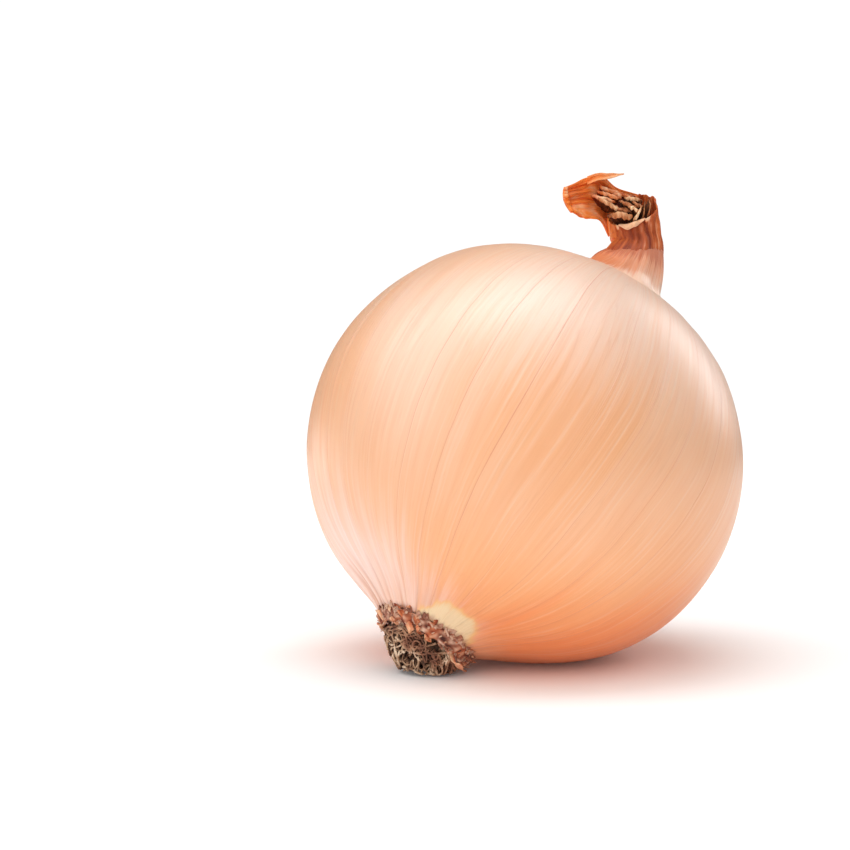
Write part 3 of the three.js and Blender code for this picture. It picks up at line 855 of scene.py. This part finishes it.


# %% [markdown]
# ## The finish of dried scales
# Dried scales are red-brown in the grooves, a painted shade, orange where light
# shines through, a painted glow, and almost cream at their edges, a painted highlight.
# Tone runs from dark to pale, and glow from red-brown to orange; glow above 1 also
# calms the fibres, for skin that is stretched smooth.
# One function makes the finish for each part of the neck.

# %% Dry finishes


def dry_finish(name, browns, oranges, fibres, roughness=0.5):
    """Dried skin with so many fibres across the sheet."""
    dry = Finish(name)
    u, v, _ = dry.parts(dry.node("ShaderNodeUVMap", {"uv_map": "sheet"}))
    spot = dry.place()
    tone = dry.attribute("tone")
    glow = dry.attribute("glow")
    fibre = dry.noise(dry.vector(u * fibres, v * 2.5, 0.0), 1.0, 3, 0.6)
    blotch = dry.noise(spot, 500, 3)
    calm = dry.step(glow, 1.0, 2.0)
    level = tone + (fibre - 0.5) * (0.75 - calm * 0.6) + (blotch - 0.5) * 0.5
    places = (0.0, 0.45, 1.0)
    brown = dry.node("ShaderNodeValToRGB", {"stops": list(zip(places, browns))}, {0: level})
    orange = dry.node("ShaderNodeValToRGB", {"stops": list(zip(places, oranges))}, {0: level})
    colour = dry.mix(glow, brown, orange)
    grain = dry.bump(fibre * 0.7 + blotch * 0.3, 0.2, 0.8)
    return dry.done(
        Base_Color=colour,
        Roughness=roughness,
        Normal=grain,
        Specular_IOR_Level=0.25,
        Subsurface_Weight=0.08,
        Subsurface_Scale=0.002,
    )


BROWNS = [(0.15, 0.018, 0.005), (0.44, 0.085, 0.026), (0.90, 0.46, 0.29)]
ORANGES = [(0.58, 0.085, 0.015), (1.0, 0.26, 0.045), (1.0, 0.62, 0.36)]
INNER_DARKS = [(0.035, 0.010, 0.004), (0.48, 0.15, 0.05), (0.94, 0.50, 0.26)]
INNER_PALES = [(0.12, 0.035, 0.012), (0.70, 0.33, 0.13), (1.0, 0.72, 0.46)]
neck_finish = dry_finish("dry_neck_skin", BROWNS, ORANGES, 70)
flap_finish = dry_finish("dry_flap_skin", BROWNS, ORANGES, 34, 0.42)
inner_finish = dry_finish("inner_scale_skin", INNER_DARKS, INNER_PALES, 14, 0.5)

# %% [markdown]
# ## The wall of the neck
# The wall is a tube torn low at the front and high at the back. Where it is torn at
# the front its edge curls outwards and shows a pale lip. The creases that run up the
# wall are a ring of smooth noise, which closes on itself without a seam.

# %% Neck wall
RIM_MIDDLE = 0.77
RIM_BACK = 0.18
RIM_RIGHT = 0.09
FRONT = 1.5 * math.pi


def neck_rim(around):
    """Where the wall is torn off, as a share of the neck's length."""
    worn = 0.015 * ripple_round(around, 2, 0, 3)
    torn = 0.03 * ripple_round(around, 6, 0, 4) * (1 + math.sin(around))
    return RIM_MIDDLE + RIM_BACK * math.sin(around) + RIM_RIGHT * math.cos(around) + (worn + torn)


def wall_place(u, v):
    """u goes once round the wall from the right, and v from the crease up to the torn rim."""
    around = 2 * math.pi * u
    front = hump(turned(around, FRONT - 0.1), 0, 0.62)
    left = hump(turned(around, math.pi), 0, 0.7)
    right = hump(turned(around, -0.25), 0, 0.5)
    fold = smooth(v, 0.7, 1.0) * front
    share = lerp(0.02, neck_rim(around), min(v, 0.8) / 0.8 if front > 0.4 else v)
    crease = ripple_round(around, 3.2, 1.2 * share, 1)
    fine_crease = ripple_round(around, 11, 2 * share, 2)
    open_wall = smooth(v, 0.05, 0.3)
    inset = lerp(0.1, 0.28, open_wall) + open_wall * (0.7 * abs(crease) + 0.18 * fine_crease - 0.3 * right)
    ragged = 1 + 0.2 * ripple_round(around, 4, 0, 5)
    point = neck_point(share, around, inset - 0.65 * math.sin(2.2 * fold))
    point.z -= 1.2 * ragged * fold * fold
    lip = smooth(fold, 0.12, 0.3)
    low = 1 - smooth(v, 0.02, 0.2)
    # Tone: the grooves and the foot of the wall, where it enters the crease, are darker, painted shade; the
    # curled lip is pale, a painted highlight. Glow is painted light shining through the skin
    grooves = 0.38 - 0.4 * abs(crease) + 0.4 * fine_crease
    tone = grooves + 0.8 * lip + 0.12 * right - 0.15 * low + 0.15 * left
    glow = 0.1 + 0.9 * left + 0.5 * hump(turned(around, math.pi / 2), 0, 0.8) + 0.25 * right + 0.5 * lip
    return point, tone, clamp(glow)


neck_sheet("neck_wall", wall_place, across=168, along=30, thickness=0.28, material=neck_finish)

# %% [markdown]
# ## The flap
# A piece of the back wall has torn loose and bends to the left. Three curves give
# its lower edge, middle and upper edge. Broad folds and finer ones run along it like
# crumpled paper, and its far end rolls forward into a hollow tube.

# %% Neck flap
FLAP_LOWER = vectors(
    (16.4, 20.3, 39.6),
    (14.8, 19.9, 42.6),
    (12.7, 19.2, 43.1),
    (11.0, 18.4, 43.4),
    (9.5, 17.9, 44.3),
)
FLAP_MIDDLE = vectors(
    (19.6, 24.2, 43.2),
    (16.4, 23.0, 46.0),
    (13.4, 21.6, 47.0),
    (10.8, 20.0, 47.0),
    (8.3, 18.6, 46.7),
)
FLAP_UPPER = vectors(
    (22.6, 24.2, 47.4),
    (18.0, 23.2, 48.9),
    (15.2, 21.4, 51.2),
    (12.0, 19.8, 50.7),
    (8.2, 18.0, 49.1),
)
ROLL_START = 0.84
ROLL_RADIUS = 0.5


def flap_place(u, v):
    """u goes from the lower edge to the upper, and v from the neck to the rolled end."""
    flat = min(1, v / ROLL_START)
    low, middle, high = (curve_at(line, flat) for line in (FLAP_LOWER, FLAP_MIDDLE, FLAP_UPPER))
    point = low * (1 - u) * (1 - 2 * u) + middle * 4 * u * (1 - u) + high * u * (2 * u - 1)
    across = u + 0.06 * ripple(3 * flat, 2 * u, 5)
    fold = ripple(4.2 * across, 0.8 * flat, 1)
    crease = abs(ripple(8.5 * across, 1.6 * flat, 2))
    crumple = ripple(7 * u, 6 * flat, 3)
    rolled = max(0.0, v - ROLL_START) / (1 - ROLL_START)
    spread = (0.3 + 0.7 * flat) * (1 - 0.5 * smooth(v, 0.7, ROLL_START))
    edge = 1 - 0.8 * smooth(u, 0.88, 1)
    point.y += spread * edge * (2.2 * fold - 1.5 * crease + 0.5 * crumple)
    point.z += 0.4 * flat * crumple * (1 - flat**4)
    sweep = 1.95 * math.pi * rolled
    radius = ROLL_RADIUS * (1 + 0.25 * ripple(1.5 * u, 0, 6)) * math.sin(math.pi * lerp(0.1, 0.9, u)) ** 0.3
    point.x -= radius * math.sin(sweep)
    point.y -= radius * (1 - math.cos(sweep))
    # Tone: folds and creases are darker, painted shade, and the top of the rolled end is pale, a painted
    # highlight. Glow, painted light shining through, is strongest on the roll
    tone = clamp(0.58 - 0.3 * fold - 0.8 * (crease - 0.16) + 0.4 * crumple, 0.34, 0.62)
    end = 0.42 + 0.15 * crumple + 0.5 * smooth(u, 0.6, 0.8) * smooth(rolled, 0.3, 0.7)
    tone = lerp(tone, end, smooth(v, ROLL_START - 0.03, ROLL_START + 0.03))
    glow = clamp(0.95 + 0.7 * ripple(3 * u, 3 * flat, 9)) + smooth(v, ROLL_START - 0.04, ROLL_START)
    return point, tone, glow


neck_sheet("neck_flap", flap_place, across=96, along=72, thickness=0.2, material=flap_finish)

# %% [markdown]
# ## The tip of the flap
# A narrow strip of the flap has come loose and points to the right. It follows one
# curve, widest at its foot and drawn out to a point.

# %% Neck tip
TIP_LINE = vectors((12.3, 20.2, 50.3), (14.4, 20.4, 51.0), (16.9, 20.5, 51.15), (19.3, 20.5, 51.5))
TIP_WIDTH = 1.5


def tip_place(u, v):
    point = curve_at(TIP_LINE, v)
    half = TIP_WIDTH * (1.03 - v**2.2) * (u - 0.5)
    fold = 0.35 * math.cos(2 * math.pi * u)
    offset = Vector((0, 0.5 * half - fold * (1 - v), half + 0.15 * ripple(2 * u, 5 * v, 8)))
    return point + offset, 0.45 + 0.35 * v + 0.3 * fold, 1.0


neck_sheet("neck_tip", tip_place, across=12, along=28, thickness=0.2, material=flap_finish)

# %% [markdown]
# ## The inner scales
# Inside the wall stand the dried ends of the inner scales, curled like wood shavings.
# Each rises from a foot inside the neck to a lip that rolls forward. Three points
# give each lip, so that every one can bend its own way.

# %% Inner scales
NECK_FOOT = Vector((20.6, 19.6, 39.8))
FLAP_FOOT = Vector((15.9, 20.8, 44.2))
# Lip from left to right, foot, radius of the roll, tone and glow
INNER_SCALES = [
    (vectors((14.3, 18.4, 47.1), (16.2, 18.0, 46.4), (18.3, 18.2, 44.9)), FLAP_FOOT, 0.5, 0.8, 0.5),
    (vectors((16.0, 17.6, 43.9), (18.4, 16.9, 44.5), (20.8, 17.6, 43.7)), NECK_FOOT, 0.7, 0.7, 0.3),
    (vectors((20.8, 17.4, 42.9), (21.6, 17.2, 44.2), (22.5, 17.8, 45.6)), NECK_FOOT, 0.45, 1.0, 1.0),
    (vectors((19.9, 18.4, 45.6), (21.0, 17.9, 45.3), (22.1, 17.7, 44.6)), NECK_FOOT, 0.35, 0.9, 0.8),
    (vectors((18.2, 19.3, 46.5), (20.0, 18.9, 46.1), (21.8, 19.1, 45.2)), NECK_FOOT, 0.4, 0.6, 0.1),
    (vectors((16.8, 19.0, 45.8), (18.6, 18.5, 45.2), (20.6, 18.8, 44.7)), NECK_FOOT, 0.4, 0.4, 0.1),
    (vectors((19.3, 20.8, 47.2), (21.0, 20.5, 47.1), (22.8, 20.8, 46.5)), NECK_FOOT, 0.4, 0.75, 0.6),
    (vectors((22.6, 18.0, 43.3), (23.0, 19.0, 44.8), (23.2, 20.2, 46.3)), NECK_FOOT, 0.35, 0.5, 0.3),
    (vectors((23.5, 18.3, 43.6), (24.2, 19.6, 45.6), (24.0, 21.2, 46.7)), NECK_FOOT, 0.4, 0.4, 0.0),
    (vectors((20.8, 19.6, 46.4), (22.0, 19.6, 45.9), (22.9, 20.2, 45.4)), NECK_FOOT, 0.35, 0.45, 0.1),
    (vectors((17.2, 18.2, 45.1), (18.9, 17.8, 44.9), (20.4, 18.2, 44.3)), NECK_FOOT, 0.3, 0.3, 0.0),
]
# The same where the neck meets the flap; these have the flap's redder colour
FOLDED_SCALES = [
    (vectors((14.0, 19.6, 48.4), (16.2, 19.8, 47.9), (18.8, 20.2, 46.9)), FLAP_FOOT, 0.4, 0.75, 0.7),
    (vectors((13.0, 19.9, 47.4), (15.2, 19.3, 47.3), (17.6, 19.3, 46.3)), FLAP_FOOT, 0.4, 0.85, 0.8),
    (vectors((14.6, 21.0, 49.4), (16.8, 21.2, 48.6), (19.4, 21.5, 47.7)), FLAP_FOOT, 0.45, 0.55, 0.6),
    (vectors((17.0, 21.2, 48.1), (19.2, 21.5, 47.6), (21.6, 22.0, 47.2)), NECK_FOOT, 0.4, 0.6, 0.5),
]


def inner_scale(index, material, lip_line, foot, radius, tone, glow):
    """A scale that rises from its foot and rolls forward at its lip; the index is its seed."""
    middle = curve_at(lip_line, 0.5)

    def place(u, v):
        wave = 0.4 * ripple(3.5 * u, 0, index) + 0.25 * ripple(9 * u, 0, index + 20)
        bent = u ** (1 + 0.8 * ripple(0.37 * index, 0, 5))
        uneven = 0.9 + 0.7 * ripple(5 * u, 0, index + 60)
        taper = math.sin(math.pi * lerp(0.03, 0.97, bent)) ** 0.6 * uneven
        roll = radius * taper
        lip = curve_at(lip_line, u) + Vector((0, wave, 0.6 * wave))
        aside = Vector((0.3 * (lip.x - middle.x), 0.3 * (lip.y - middle.y) + 0.8, 0))
        rise = min(1, v / 0.5)
        point = (foot + aside).lerp(lip - Vector((0, 0, roll)), rise)
        sweep = 1.4 * math.pi * max(0.0, v - 0.5) / 0.5
        point.y -= roll * (1 - math.cos(sweep))
        point.z += roll * math.sin(sweep)
        point.y += 0.3 * ripple(5 * u, 2 * v, index + 40) * rise
        # Painted shade: each scale is dark from its foot, deep in the neck, to halfway up, and at its thin
        # ends; its tone and glow show towards the lip
        edge = smooth(v, 0.45, 0.7) * taper
        shade = tone + 0.5 * wave + 0.5 * ripple(4 * u, 2 * v, index + 80)
        return point, 0.05 + shade * edge, glow * clamp(edge)

    neck_sheet(f"inner_scale_{index}", place, across=36, along=28, thickness=0.18, material=material)


for index, row in enumerate(INNER_SCALES, 1):
    inner_scale(index, inner_finish, *row)
for index, row in enumerate(FOLDED_SCALES, 1 + len(INNER_SCALES)):
    inner_scale(index, flap_finish, *row)

# %% [markdown]
# ## The root plate
# The roots grow from a corky plate. It is a flattened sphere with a rough surface,
# dark, partly its own brown and partly painted shade, so that the gaps between the
# rootlets read as depth.

# %% Root end helpers
ROOT_TOP = ROOT_FACE - 0.3
PLATE_RADIUS = 6.6
RING_DEPTH = 1.2
TUFT_RADIUS = 7.9
TUFT_DEPTH = 6.8
SAG = 0.5
FLOOR = -CENTRE.z + 0.25


def tuft_radius(depth):
    """Radius of the root end at a depth: the plate, then the wider mat with a round end."""
    waist = smooth(depth, RING_DEPTH, RING_DEPTH + 1.4)
    dome = math.sqrt(1 - 0.8 * clamp(depth / TUFT_DEPTH) ** 2.2)
    return lerp(PLATE_RADIUS, TUFT_RADIUS, waist) * dome


def sagged(depth):
    """How far the mat hangs downhill at a depth below the ring."""
    return SAG * max(0, depth - RING_DEPTH)


def root_point(x, y, depth, least=0.0):
    """A point at a depth outward from the root face, sagged and kept off the floor."""
    point = TURN @ Vector((x + sagged(depth), y, ROOT_TOP - depth))
    point.z = max(point.z, FLOOR + least)
    return point


print("The mat of roots is", 2 * TUFT_RADIUS, "mm across")


# %% Root plate
CORK_RADIUS = 6.2
CORK_DEPTH = 1.9
cork = Finish("root_cork")
cork_spot = cork.place()
cork_grain = cork.noise(cork_spot, 700, 4, 0.65)
cork_colour = cork.node(
    "ShaderNodeValToRGB",
    {"stops": [(0.3, (0.03, 0.014, 0.008)), (0.6, (0.12, 0.06, 0.03)), (0.8, (0.30, 0.18, 0.10))]},
    {0: cork_grain},
)
cork_finish = cork.done(Base_Color=cork_colour, Roughness=0.9, Normal=cork.bump(cork_grain, 0.4))
plate_mesh = bmesh.new()
bmesh.ops.create_uvsphere(plate_mesh, u_segments=72, v_segments=36, radius=1)
for vert in plate_mesh.verts:
    side = vert.co.copy()
    rough = 1 + 0.1 * noise.noise(side * 4) + 0.05 * noise.noise(side * 11)
    depth = CORK_DEPTH * (1 - side.z) * (1 if side.z < 0 else 0.3) + 0.3
    x, y = CORK_RADIUS * side.x * rough, CORK_RADIUS * side.y * rough
    vert.co = (CENTRE + root_point(x, y, depth * rough)) * MM
piece("root_plate", plate_mesh, cork_finish, "root_tuft")

# %% [markdown]
# ## The rootlets
# Hundreds of dried rootlets make the mat. Some grow straight out of the plate and
# curl, others lie in loops on the outside of the mat. Drawing each one as a curve
# with a round bevel is quicker than extruding tubes, and it needs only a few dozen
# faces. A seed keeps them the same every time.

# %% Rootlets
GROWING_ROOTS = 190
LOOPED_ROOTS = 300
ROOT_POINTS = 12
THINNEST = 0.15
THICKEST = 0.3
GOLDEN_TURN = 2.39996
root_random = random.Random(7)


def on_mat(x, y, depth, inside=0.3):
    """A point of the mat, drawn in to its outline where it lies outside."""
    most = max(0.4, tuft_radius(max(0, depth)) - inside)
    scale = min(1, most / max(0.01, math.hypot(x, y)))
    return root_point(x * scale, y * scale, min(depth, TUFT_DEPTH), 0.3)


def growing_root(turn):
    """A root that grows out of the plate and curls."""
    ring = math.sqrt((turn + 0.5) / GROWING_ROOTS)
    start = 0.95 * PLATE_RADIUS * ring
    curl = root_random.choice((-1, 1)) * root_random.uniform(4, 10)
    phase = root_random.uniform(0, 2 * math.pi)
    loop = root_random.uniform(0.5, 1.1)
    reach = TUFT_DEPTH * root_random.uniform(0.6, 1.0) * (1 - 0.45 * ring**3)
    points = []
    for step in range(ROOT_POINTS):
        t = step / (ROOT_POINTS - 1)
        depth = lerp(0.4, reach, t) + 0.4 * math.sin(curl * 1.3 * t + phase)
        angle = GOLDEN_TURN * turn + 0.1 * curl * t
        out = start * (1 + 0.5 * t)
        swing = loop * min(1, 2 * t)
        x = out * math.cos(angle) + swing * math.cos(phase + curl * t)
        y = out * math.sin(angle) + swing * math.sin(phase + curl * t)
        points.append(on_mat(x, y, depth))
    return points


def looped_root():
    """A root that lies in a loop on the outside of the mat."""
    side = root_random.uniform(0, 2 * math.pi)
    depth = TUFT_DEPTH * root_random.uniform(0.22, 0.98)
    radius = tuft_radius(depth) * root_random.uniform(0.55, 1.0)
    loop = root_random.uniform(0.45, 1.15)
    swept = root_random.choice((-1, 1)) * root_random.uniform(2.5, 6.5)
    phase = root_random.uniform(0, 2 * math.pi)
    drift = root_random.uniform(-1.2, 1.2)
    points = []
    for step in range(ROOT_POINTS):
        t = step / (ROOT_POINTS - 1)
        swing = loop * (1 - 0.5 * t)
        angle = side + (swing * math.cos(phase + swept * t) + drift * t) / max(2.0, radius)
        here = depth + swing * math.sin(phase + swept * t)
        out = radius + 0.35 * math.sin(3 * phase + 5 * t)
        points.append(on_mat(out * math.cos(angle), out * math.sin(angle), max(0.9, here), 0.15))
    return points


# %% Draw the rootlets
strands = bpy.data.curves.new("rootlets", "CURVE")
strands.dimensions = "3D"
strands.bevel_depth = MM
strands.bevel_resolution = 0
strands.use_fill_caps = True
lines = [growing_root(turn) for turn in range(GROWING_ROOTS)]
lines += [looped_root() for _ in range(LOOPED_ROOTS)]
for points in lines:
    strand = strands.splines.new("POLY")
    strand.points.add(len(points) - 1)
    thick = root_random.uniform(THINNEST, THICKEST)
    for step, point in enumerate(points):
        strand.points[step].co = (*((CENTRE + point) * MM), 1)
        strand.points[step].radius = thick * (1 - 0.4 * step / len(points))
strand_object = bpy.data.objects.new("strands", strands)
root_mesh = bmesh.new()
root_mesh.from_mesh(strand_object.to_mesh())
bpy.data.objects.remove(strand_object)
print(len(lines), "rootlets,", len(root_mesh.verts), "points")

# %% [markdown]
# ## The finish of the rootlets
# Rootlets deep in the mat are dark, a painted shade, and those on the outside are pale
# and dry. Each point stores how far out it lies, and that drives the colour.

# %% Finish of the rootlets
outward = root_mesh.verts.layers.float.new("outward")
BACK_TURN = TURN.inverted()
for vert in root_mesh.verts:
    local = BACK_TURN @ (vert.co / MM - CENTRE)
    depth = ROOT_TOP - local.z
    side = math.hypot(local.x - sagged(depth), local.y) / tuft_radius(max(0, depth))
    vert[outward] = clamp(max(side, depth / TUFT_DEPTH) ** 2)
roots = Finish("dry_roots")
root_spot = roots.place()
root_tint = roots.noise(root_spot, 380, 2, 0.6)
# Points deeper in the mat are darker: painted shade
root_level = roots.attribute("outward") * 0.8 + (root_tint - 0.5) * 2.2 - 0.06
root_stops = [
    (0.2, (0.05, 0.02, 0.01)),
    (0.5, (0.24, 0.11, 0.06)),
    (0.75, (0.52, 0.31, 0.18)),
    (1.0, (0.88, 0.67, 0.48)),
]
root_colour = roots.node("ShaderNodeValToRGB", {"stops": root_stops}, {0: root_level})
russet = roots.step(roots.noise(root_spot, 150, 1), 0.52, 0.62)
root_colour = roots.mix(russet * 0.35, root_colour, (0.36, 0.12, 0.06))
root_grain = roots.noise(root_spot, 2600, 2)
root_finish = roots.done(Base_Color=root_colour, Roughness=0.7, Normal=roots.bump(root_grain, 0.08))
piece("rootlets", root_mesh, root_finish, "root_tuft", merge=1e-8)

# %% [markdown]
# ## Torn skin round the roots
# The outer scales have broken off in a ragged ring. It is a crumpled band, with many
# small flakes on it in five rows, lying every way, and a few larger chips that curl
# up and catch the light. Every flake is the same small grid with its own place, size,
# slant and roll.

# %% Flakes of torn skin
TORN_BROWNS = [(0.07, 0.02, 0.014), (0.34, 0.13, 0.08), (0.80, 0.52, 0.38)]
TORN_ORANGES = [(0.26, 0.03, 0.01), (0.66, 0.17, 0.06), (0.95, 0.55, 0.32)]
torn_finish = dry_finish("torn_skin_ends", TORN_BROWNS, TORN_ORANGES, 12, 0.75)
RING_RADIUS = 8.5
RING_WAIST = 7.5


def skirt_radius(depth):
    """Radius just over the bulb's skin at a depth from the root face, negative up the skin."""
    angle = angle_at(max(ROOT_FACE, ROOT_TOP - depth))
    return bulb_radius(angle) * math.sin(angle) + 0.1


def flake(bm, longitude, depth, length, width, slant, roll, lift, tone, glow, segments=(4, 6)):
    """A flake that starts at a longitude and depth of the ring; sizes in mm, roll in radians."""
    seed = longitude * 31 + depth

    def place(u, v):
        w = width * (u - 0.5) * (1 - 0.35 * v)
        bend = length / max(0.2, roll)
        flat = bend * math.sin(roll * v)
        rough = ripple(3 * u, 3 * v, seed)
        here = depth + flat * math.cos(slant) - w * math.sin(slant) + 0.2 * rough
        aside = flat * math.sin(slant) + w * math.cos(slant)
        on_tuft = max(tuft_radius(max(here, 0)) + 0.1, RING_WAIST)
        base = lerp(skirt_radius(here), on_tuft, smooth(here, 0.2, 1.6))
        hollow = 0.35 * (2 * u - 1) ** 2 * width / 2
        out = base + lift * v + bend * (1 - math.cos(roll * v)) - hollow
        angle = longitude + aside / RING_RADIUS
        point = root_point(out * math.cos(angle), out * math.sin(angle), here, 0.3)
        return point, tone + 0.5 * rough + 0.25 * v, clamp(glow + 0.3 * rough)

    sheet_points(bm, place, *segments)


# %% Torn ring
ring_random = random.Random(21)
RING_FLAKES = 290
RING_ROWS = (-0.7, -0.3, 0.1, 0.45, 0.85)
RING_THICKNESS = 0.22


def ring_band(u, v):
    """The crumpled band of skin that the flakes hang from."""
    around = 2 * math.pi * u
    crumple = ripple_round(around, 9, 3 * v, 11)
    depth = lerp(-0.25, 1.7 + 0.7 * ripple_round(around, 6, 0, 12), v)
    out = skirt_radius(depth) - 0.1 - 1.3 * smooth(v, 0.3, 1) + 0.5 * crumple * v
    point = root_point(out * math.cos(around), out * math.sin(around), depth, 0.3)
    return point, 0.4 + 0.9 * crumple, clamp(0.1 + 1.2 * ripple_round(around, 3, 0, 13))


ring_mesh = sheet_mesh()
sheet_points(ring_mesh, ring_band, 200, 8)
for turn in range(RING_FLAKES):
    longitude = (turn + ring_random.random()) * len(RING_ROWS) * 2 * math.pi / RING_FLAKES
    depth = RING_ROWS[turn % len(RING_ROWS)] + 0.3 * ring_random.random()
    flake(
        ring_mesh,
        longitude,
        depth,
        length=ring_random.uniform(0.8, 2.3) * (0.8 if depth < 0 else 1),
        width=ring_random.uniform(0.35, 1.1),
        slant=ring_random.choice((-1, 1)) * ring_random.uniform(0.1, 1.5),
        roll=ring_random.uniform(0.3, 1.8) * (0.4 if depth < 0 else 1),
        lift=ring_random.uniform(-0.25, 0.05),
        tone=ring_random.uniform(0.1, 0.85),
        glow=ring_random.choice((0.0, 0.05, 0.15, 0.75)),
        segments=(3, 4),
    )
thicken(piece("torn_ring", ring_mesh, torn_finish, "torn_skin"), RING_THICKNESS)

# %% Torn chips
CHIP_THICKNESS = 0.3
# Longitude in degrees, depth, length, width, slant, roll, lift, tone, glow
CHIPS = [
    (152, 1.0, 2.2, 1.9, 0.1, 4.0, -0.2, 0.66, 0.95),
    (128, 0.7, 1.8, 1.2, -0.4, 1.8, 0.4, 0.5, 0.7),
    (176, 1.0, 1.7, 1.3, 0.5, 2.2, 0.3, 0.5, 0.8),
    (196, 0.1, 1.5, 1.1, -0.6, 2.0, 0.2, 0.35, 0.9),
    (206, 1.9, 2.3, 1.5, 0.9, 3.6, 0.5, 0.55, 0.9),
    (222, 1.5, 2.4, 1.2, -1.1, 2.6, 0.3, 0.4, 0.85),
    (238, 1.9, 2.6, 1.0, -1.2, 1.6, 0.3, 0.45, 0.9),
    (251, 0.8, 1.6, 1.2, 0.7, 2.0, 0.3, 0.3, 0.3),
    (266, 1.3, 1.9, 1.1, -0.5, 1.4, 0.3, 0.4, 0.2),
    (281, 1.6, 3.3, 2.3, -0.15, 1.9, 0.5, 0.55, 0.8),
    (296, 0.6, 2.2, 1.3, 0.8, 1.5, 0.3, 0.3, 0.4),
    (318, 0.9, 2.2, 1.4, 0.3, 2.0, 0.4, 0.4, 0.5),
    (347, 0.7, 2.0, 1.5, -0.6, 2.1, 0.3, 0.5, 0.8),
    (14, 0.8, 1.6, 1.6, 0.2, 2.4, 0.3, 0.45, 0.7),
    (47, 0.7, 2.4, 1.3, 0.5, 1.6, 0.4, 0.35, 0.5),
    (76, 0.8, 2.1, 1.7, -0.3, 2.2, 0.3, 0.5, 0.9),
    (103, 0.6, 1.7, 1.1, 0.7, 1.8, 0.4, 0.4, 0.6),
]
chip_mesh = sheet_mesh()
for turn, *shape in CHIPS:
    flake(chip_mesh, math.radians(turn), *shape, segments=(8, 12))
thicken(piece("torn_chips", chip_mesh, torn_finish, "torn_skin"), CHIP_THICKNESS)

# %% [markdown]
# ## Floor and light
# A white floor reaches back until it meets the white of the air, so that no horizon
# shows. The paper glows faintly, but not right under the onion, where the shadow has
# to stay dark. A wide soft sun fills every side evenly, and three softboxes make the
# broad highlights: one above and one on each side, with a small card low on the left.

# %% Floor
FLOOR_RADIUS = 0.34
DARK_RADIUS = 0.015
BRIGHT_RADIUS = 0.06
PAPER_GLOW = 0.18
floor_mesh = bmesh.new()
bmesh.ops.create_circle(floor_mesh, cap_ends=True, segments=96, radius=FLOOR_RADIUS)
floor_data = bpy.data.meshes.new("floor")
floor_mesh.to_mesh(floor_data)
floor_mesh.free()
floor = bpy.data.objects.new("floor", floor_data)
bpy.context.scene.collection.objects.link(floor)
paper = Finish("white_paper")
away = paper.node("ShaderNodeVectorMath", {"operation": "LENGTH"}, {0: paper.place()}, "Value")
# The glow is painted light; it fades to dark under the onion, a painted shadow
lit = paper.mix(paper.step(away, DARK_RADIUS, BRIGHT_RADIUS), (0.1, 0.08, 0.08), (1, 1, 1))
white = paper.done(
    Base_Color=(0.94, 0.93, 0.93),
    Roughness=0.9,
    Emission_Color=lit,
    Emission_Strength=PAPER_GLOW,
)
floor_data.materials.append(white)

# %% Lights
AIM = Vector((0, 0, 0.04))


def lamp(name, kind, place, **settings):
    data = bpy.data.lights.new(name, kind)
    for key, value in settings.items():
        setattr(data, key, value)
    made = bpy.data.objects.new(name, data)
    bpy.context.scene.collection.objects.link(made)
    made.location = place
    made.rotation_euler = (AIM - Vector(place)).to_track_quat("-Z", "Y").to_euler()
    made.visible_camera = False


def softbox(name, place, width, height, brightness):
    """A soft light of a size in metres, as bright as brightness sheets of lit white paper."""
    watts = brightness * math.pi * width * height
    lamp(name, "AREA", place, shape="RECTANGLE", size=width, size_y=height, energy=watts)


lamp("front_sun", "SUN", (-0.32, -0.8, 0.73), energy=2.34, angle=math.radians(130))
softbox("top_softbox", (-0.02, 0.06, 0.6), width=0.52, height=0.34, brightness=2.2)
softbox("right_softbox", (0.48, 0.42, 0.28), width=0.26, height=0.42, brightness=2.8)
softbox("left_softbox", (-0.40, 0.12, 0.40), width=0.30, height=0.30, brightness=1.0)
softbox("left_card", (-0.22, 0.15, 0.02), width=0.16, height=0.05, brightness=1.4)
print("Lights:", len(bpy.data.lights))

# %% [markdown]
# ## The air
# The air is dimmer for the light that it gives than it looks to the camera, so that
# the background is white and the skin keeps its contrast.

# %% Air
AIR_LIGHT = 0.16
AIR_SEEN = 1.05
world = bpy.data.worlds.new("studio")
bpy.context.scene.world = world
world.use_nodes = True
air = world.node_tree
background = air.nodes["Background"]
background.inputs["Color"].default_value = (1, 1, 1, 1)
light_path = air.nodes.new("ShaderNodeLightPath")
strength = air.nodes.new("ShaderNodeMath")
strength.operation = "MULTIPLY_ADD"
strength.inputs[1].default_value = AIR_SEEN - AIR_LIGHT
strength.inputs[2].default_value = AIR_LIGHT
air.links.new(light_path.outputs["Is Camera Ray"], strength.inputs[0])
air.links.new(strength.outputs[0], background.inputs["Strength"])
print("Air gives", AIR_LIGHT, "of the light of white paper")
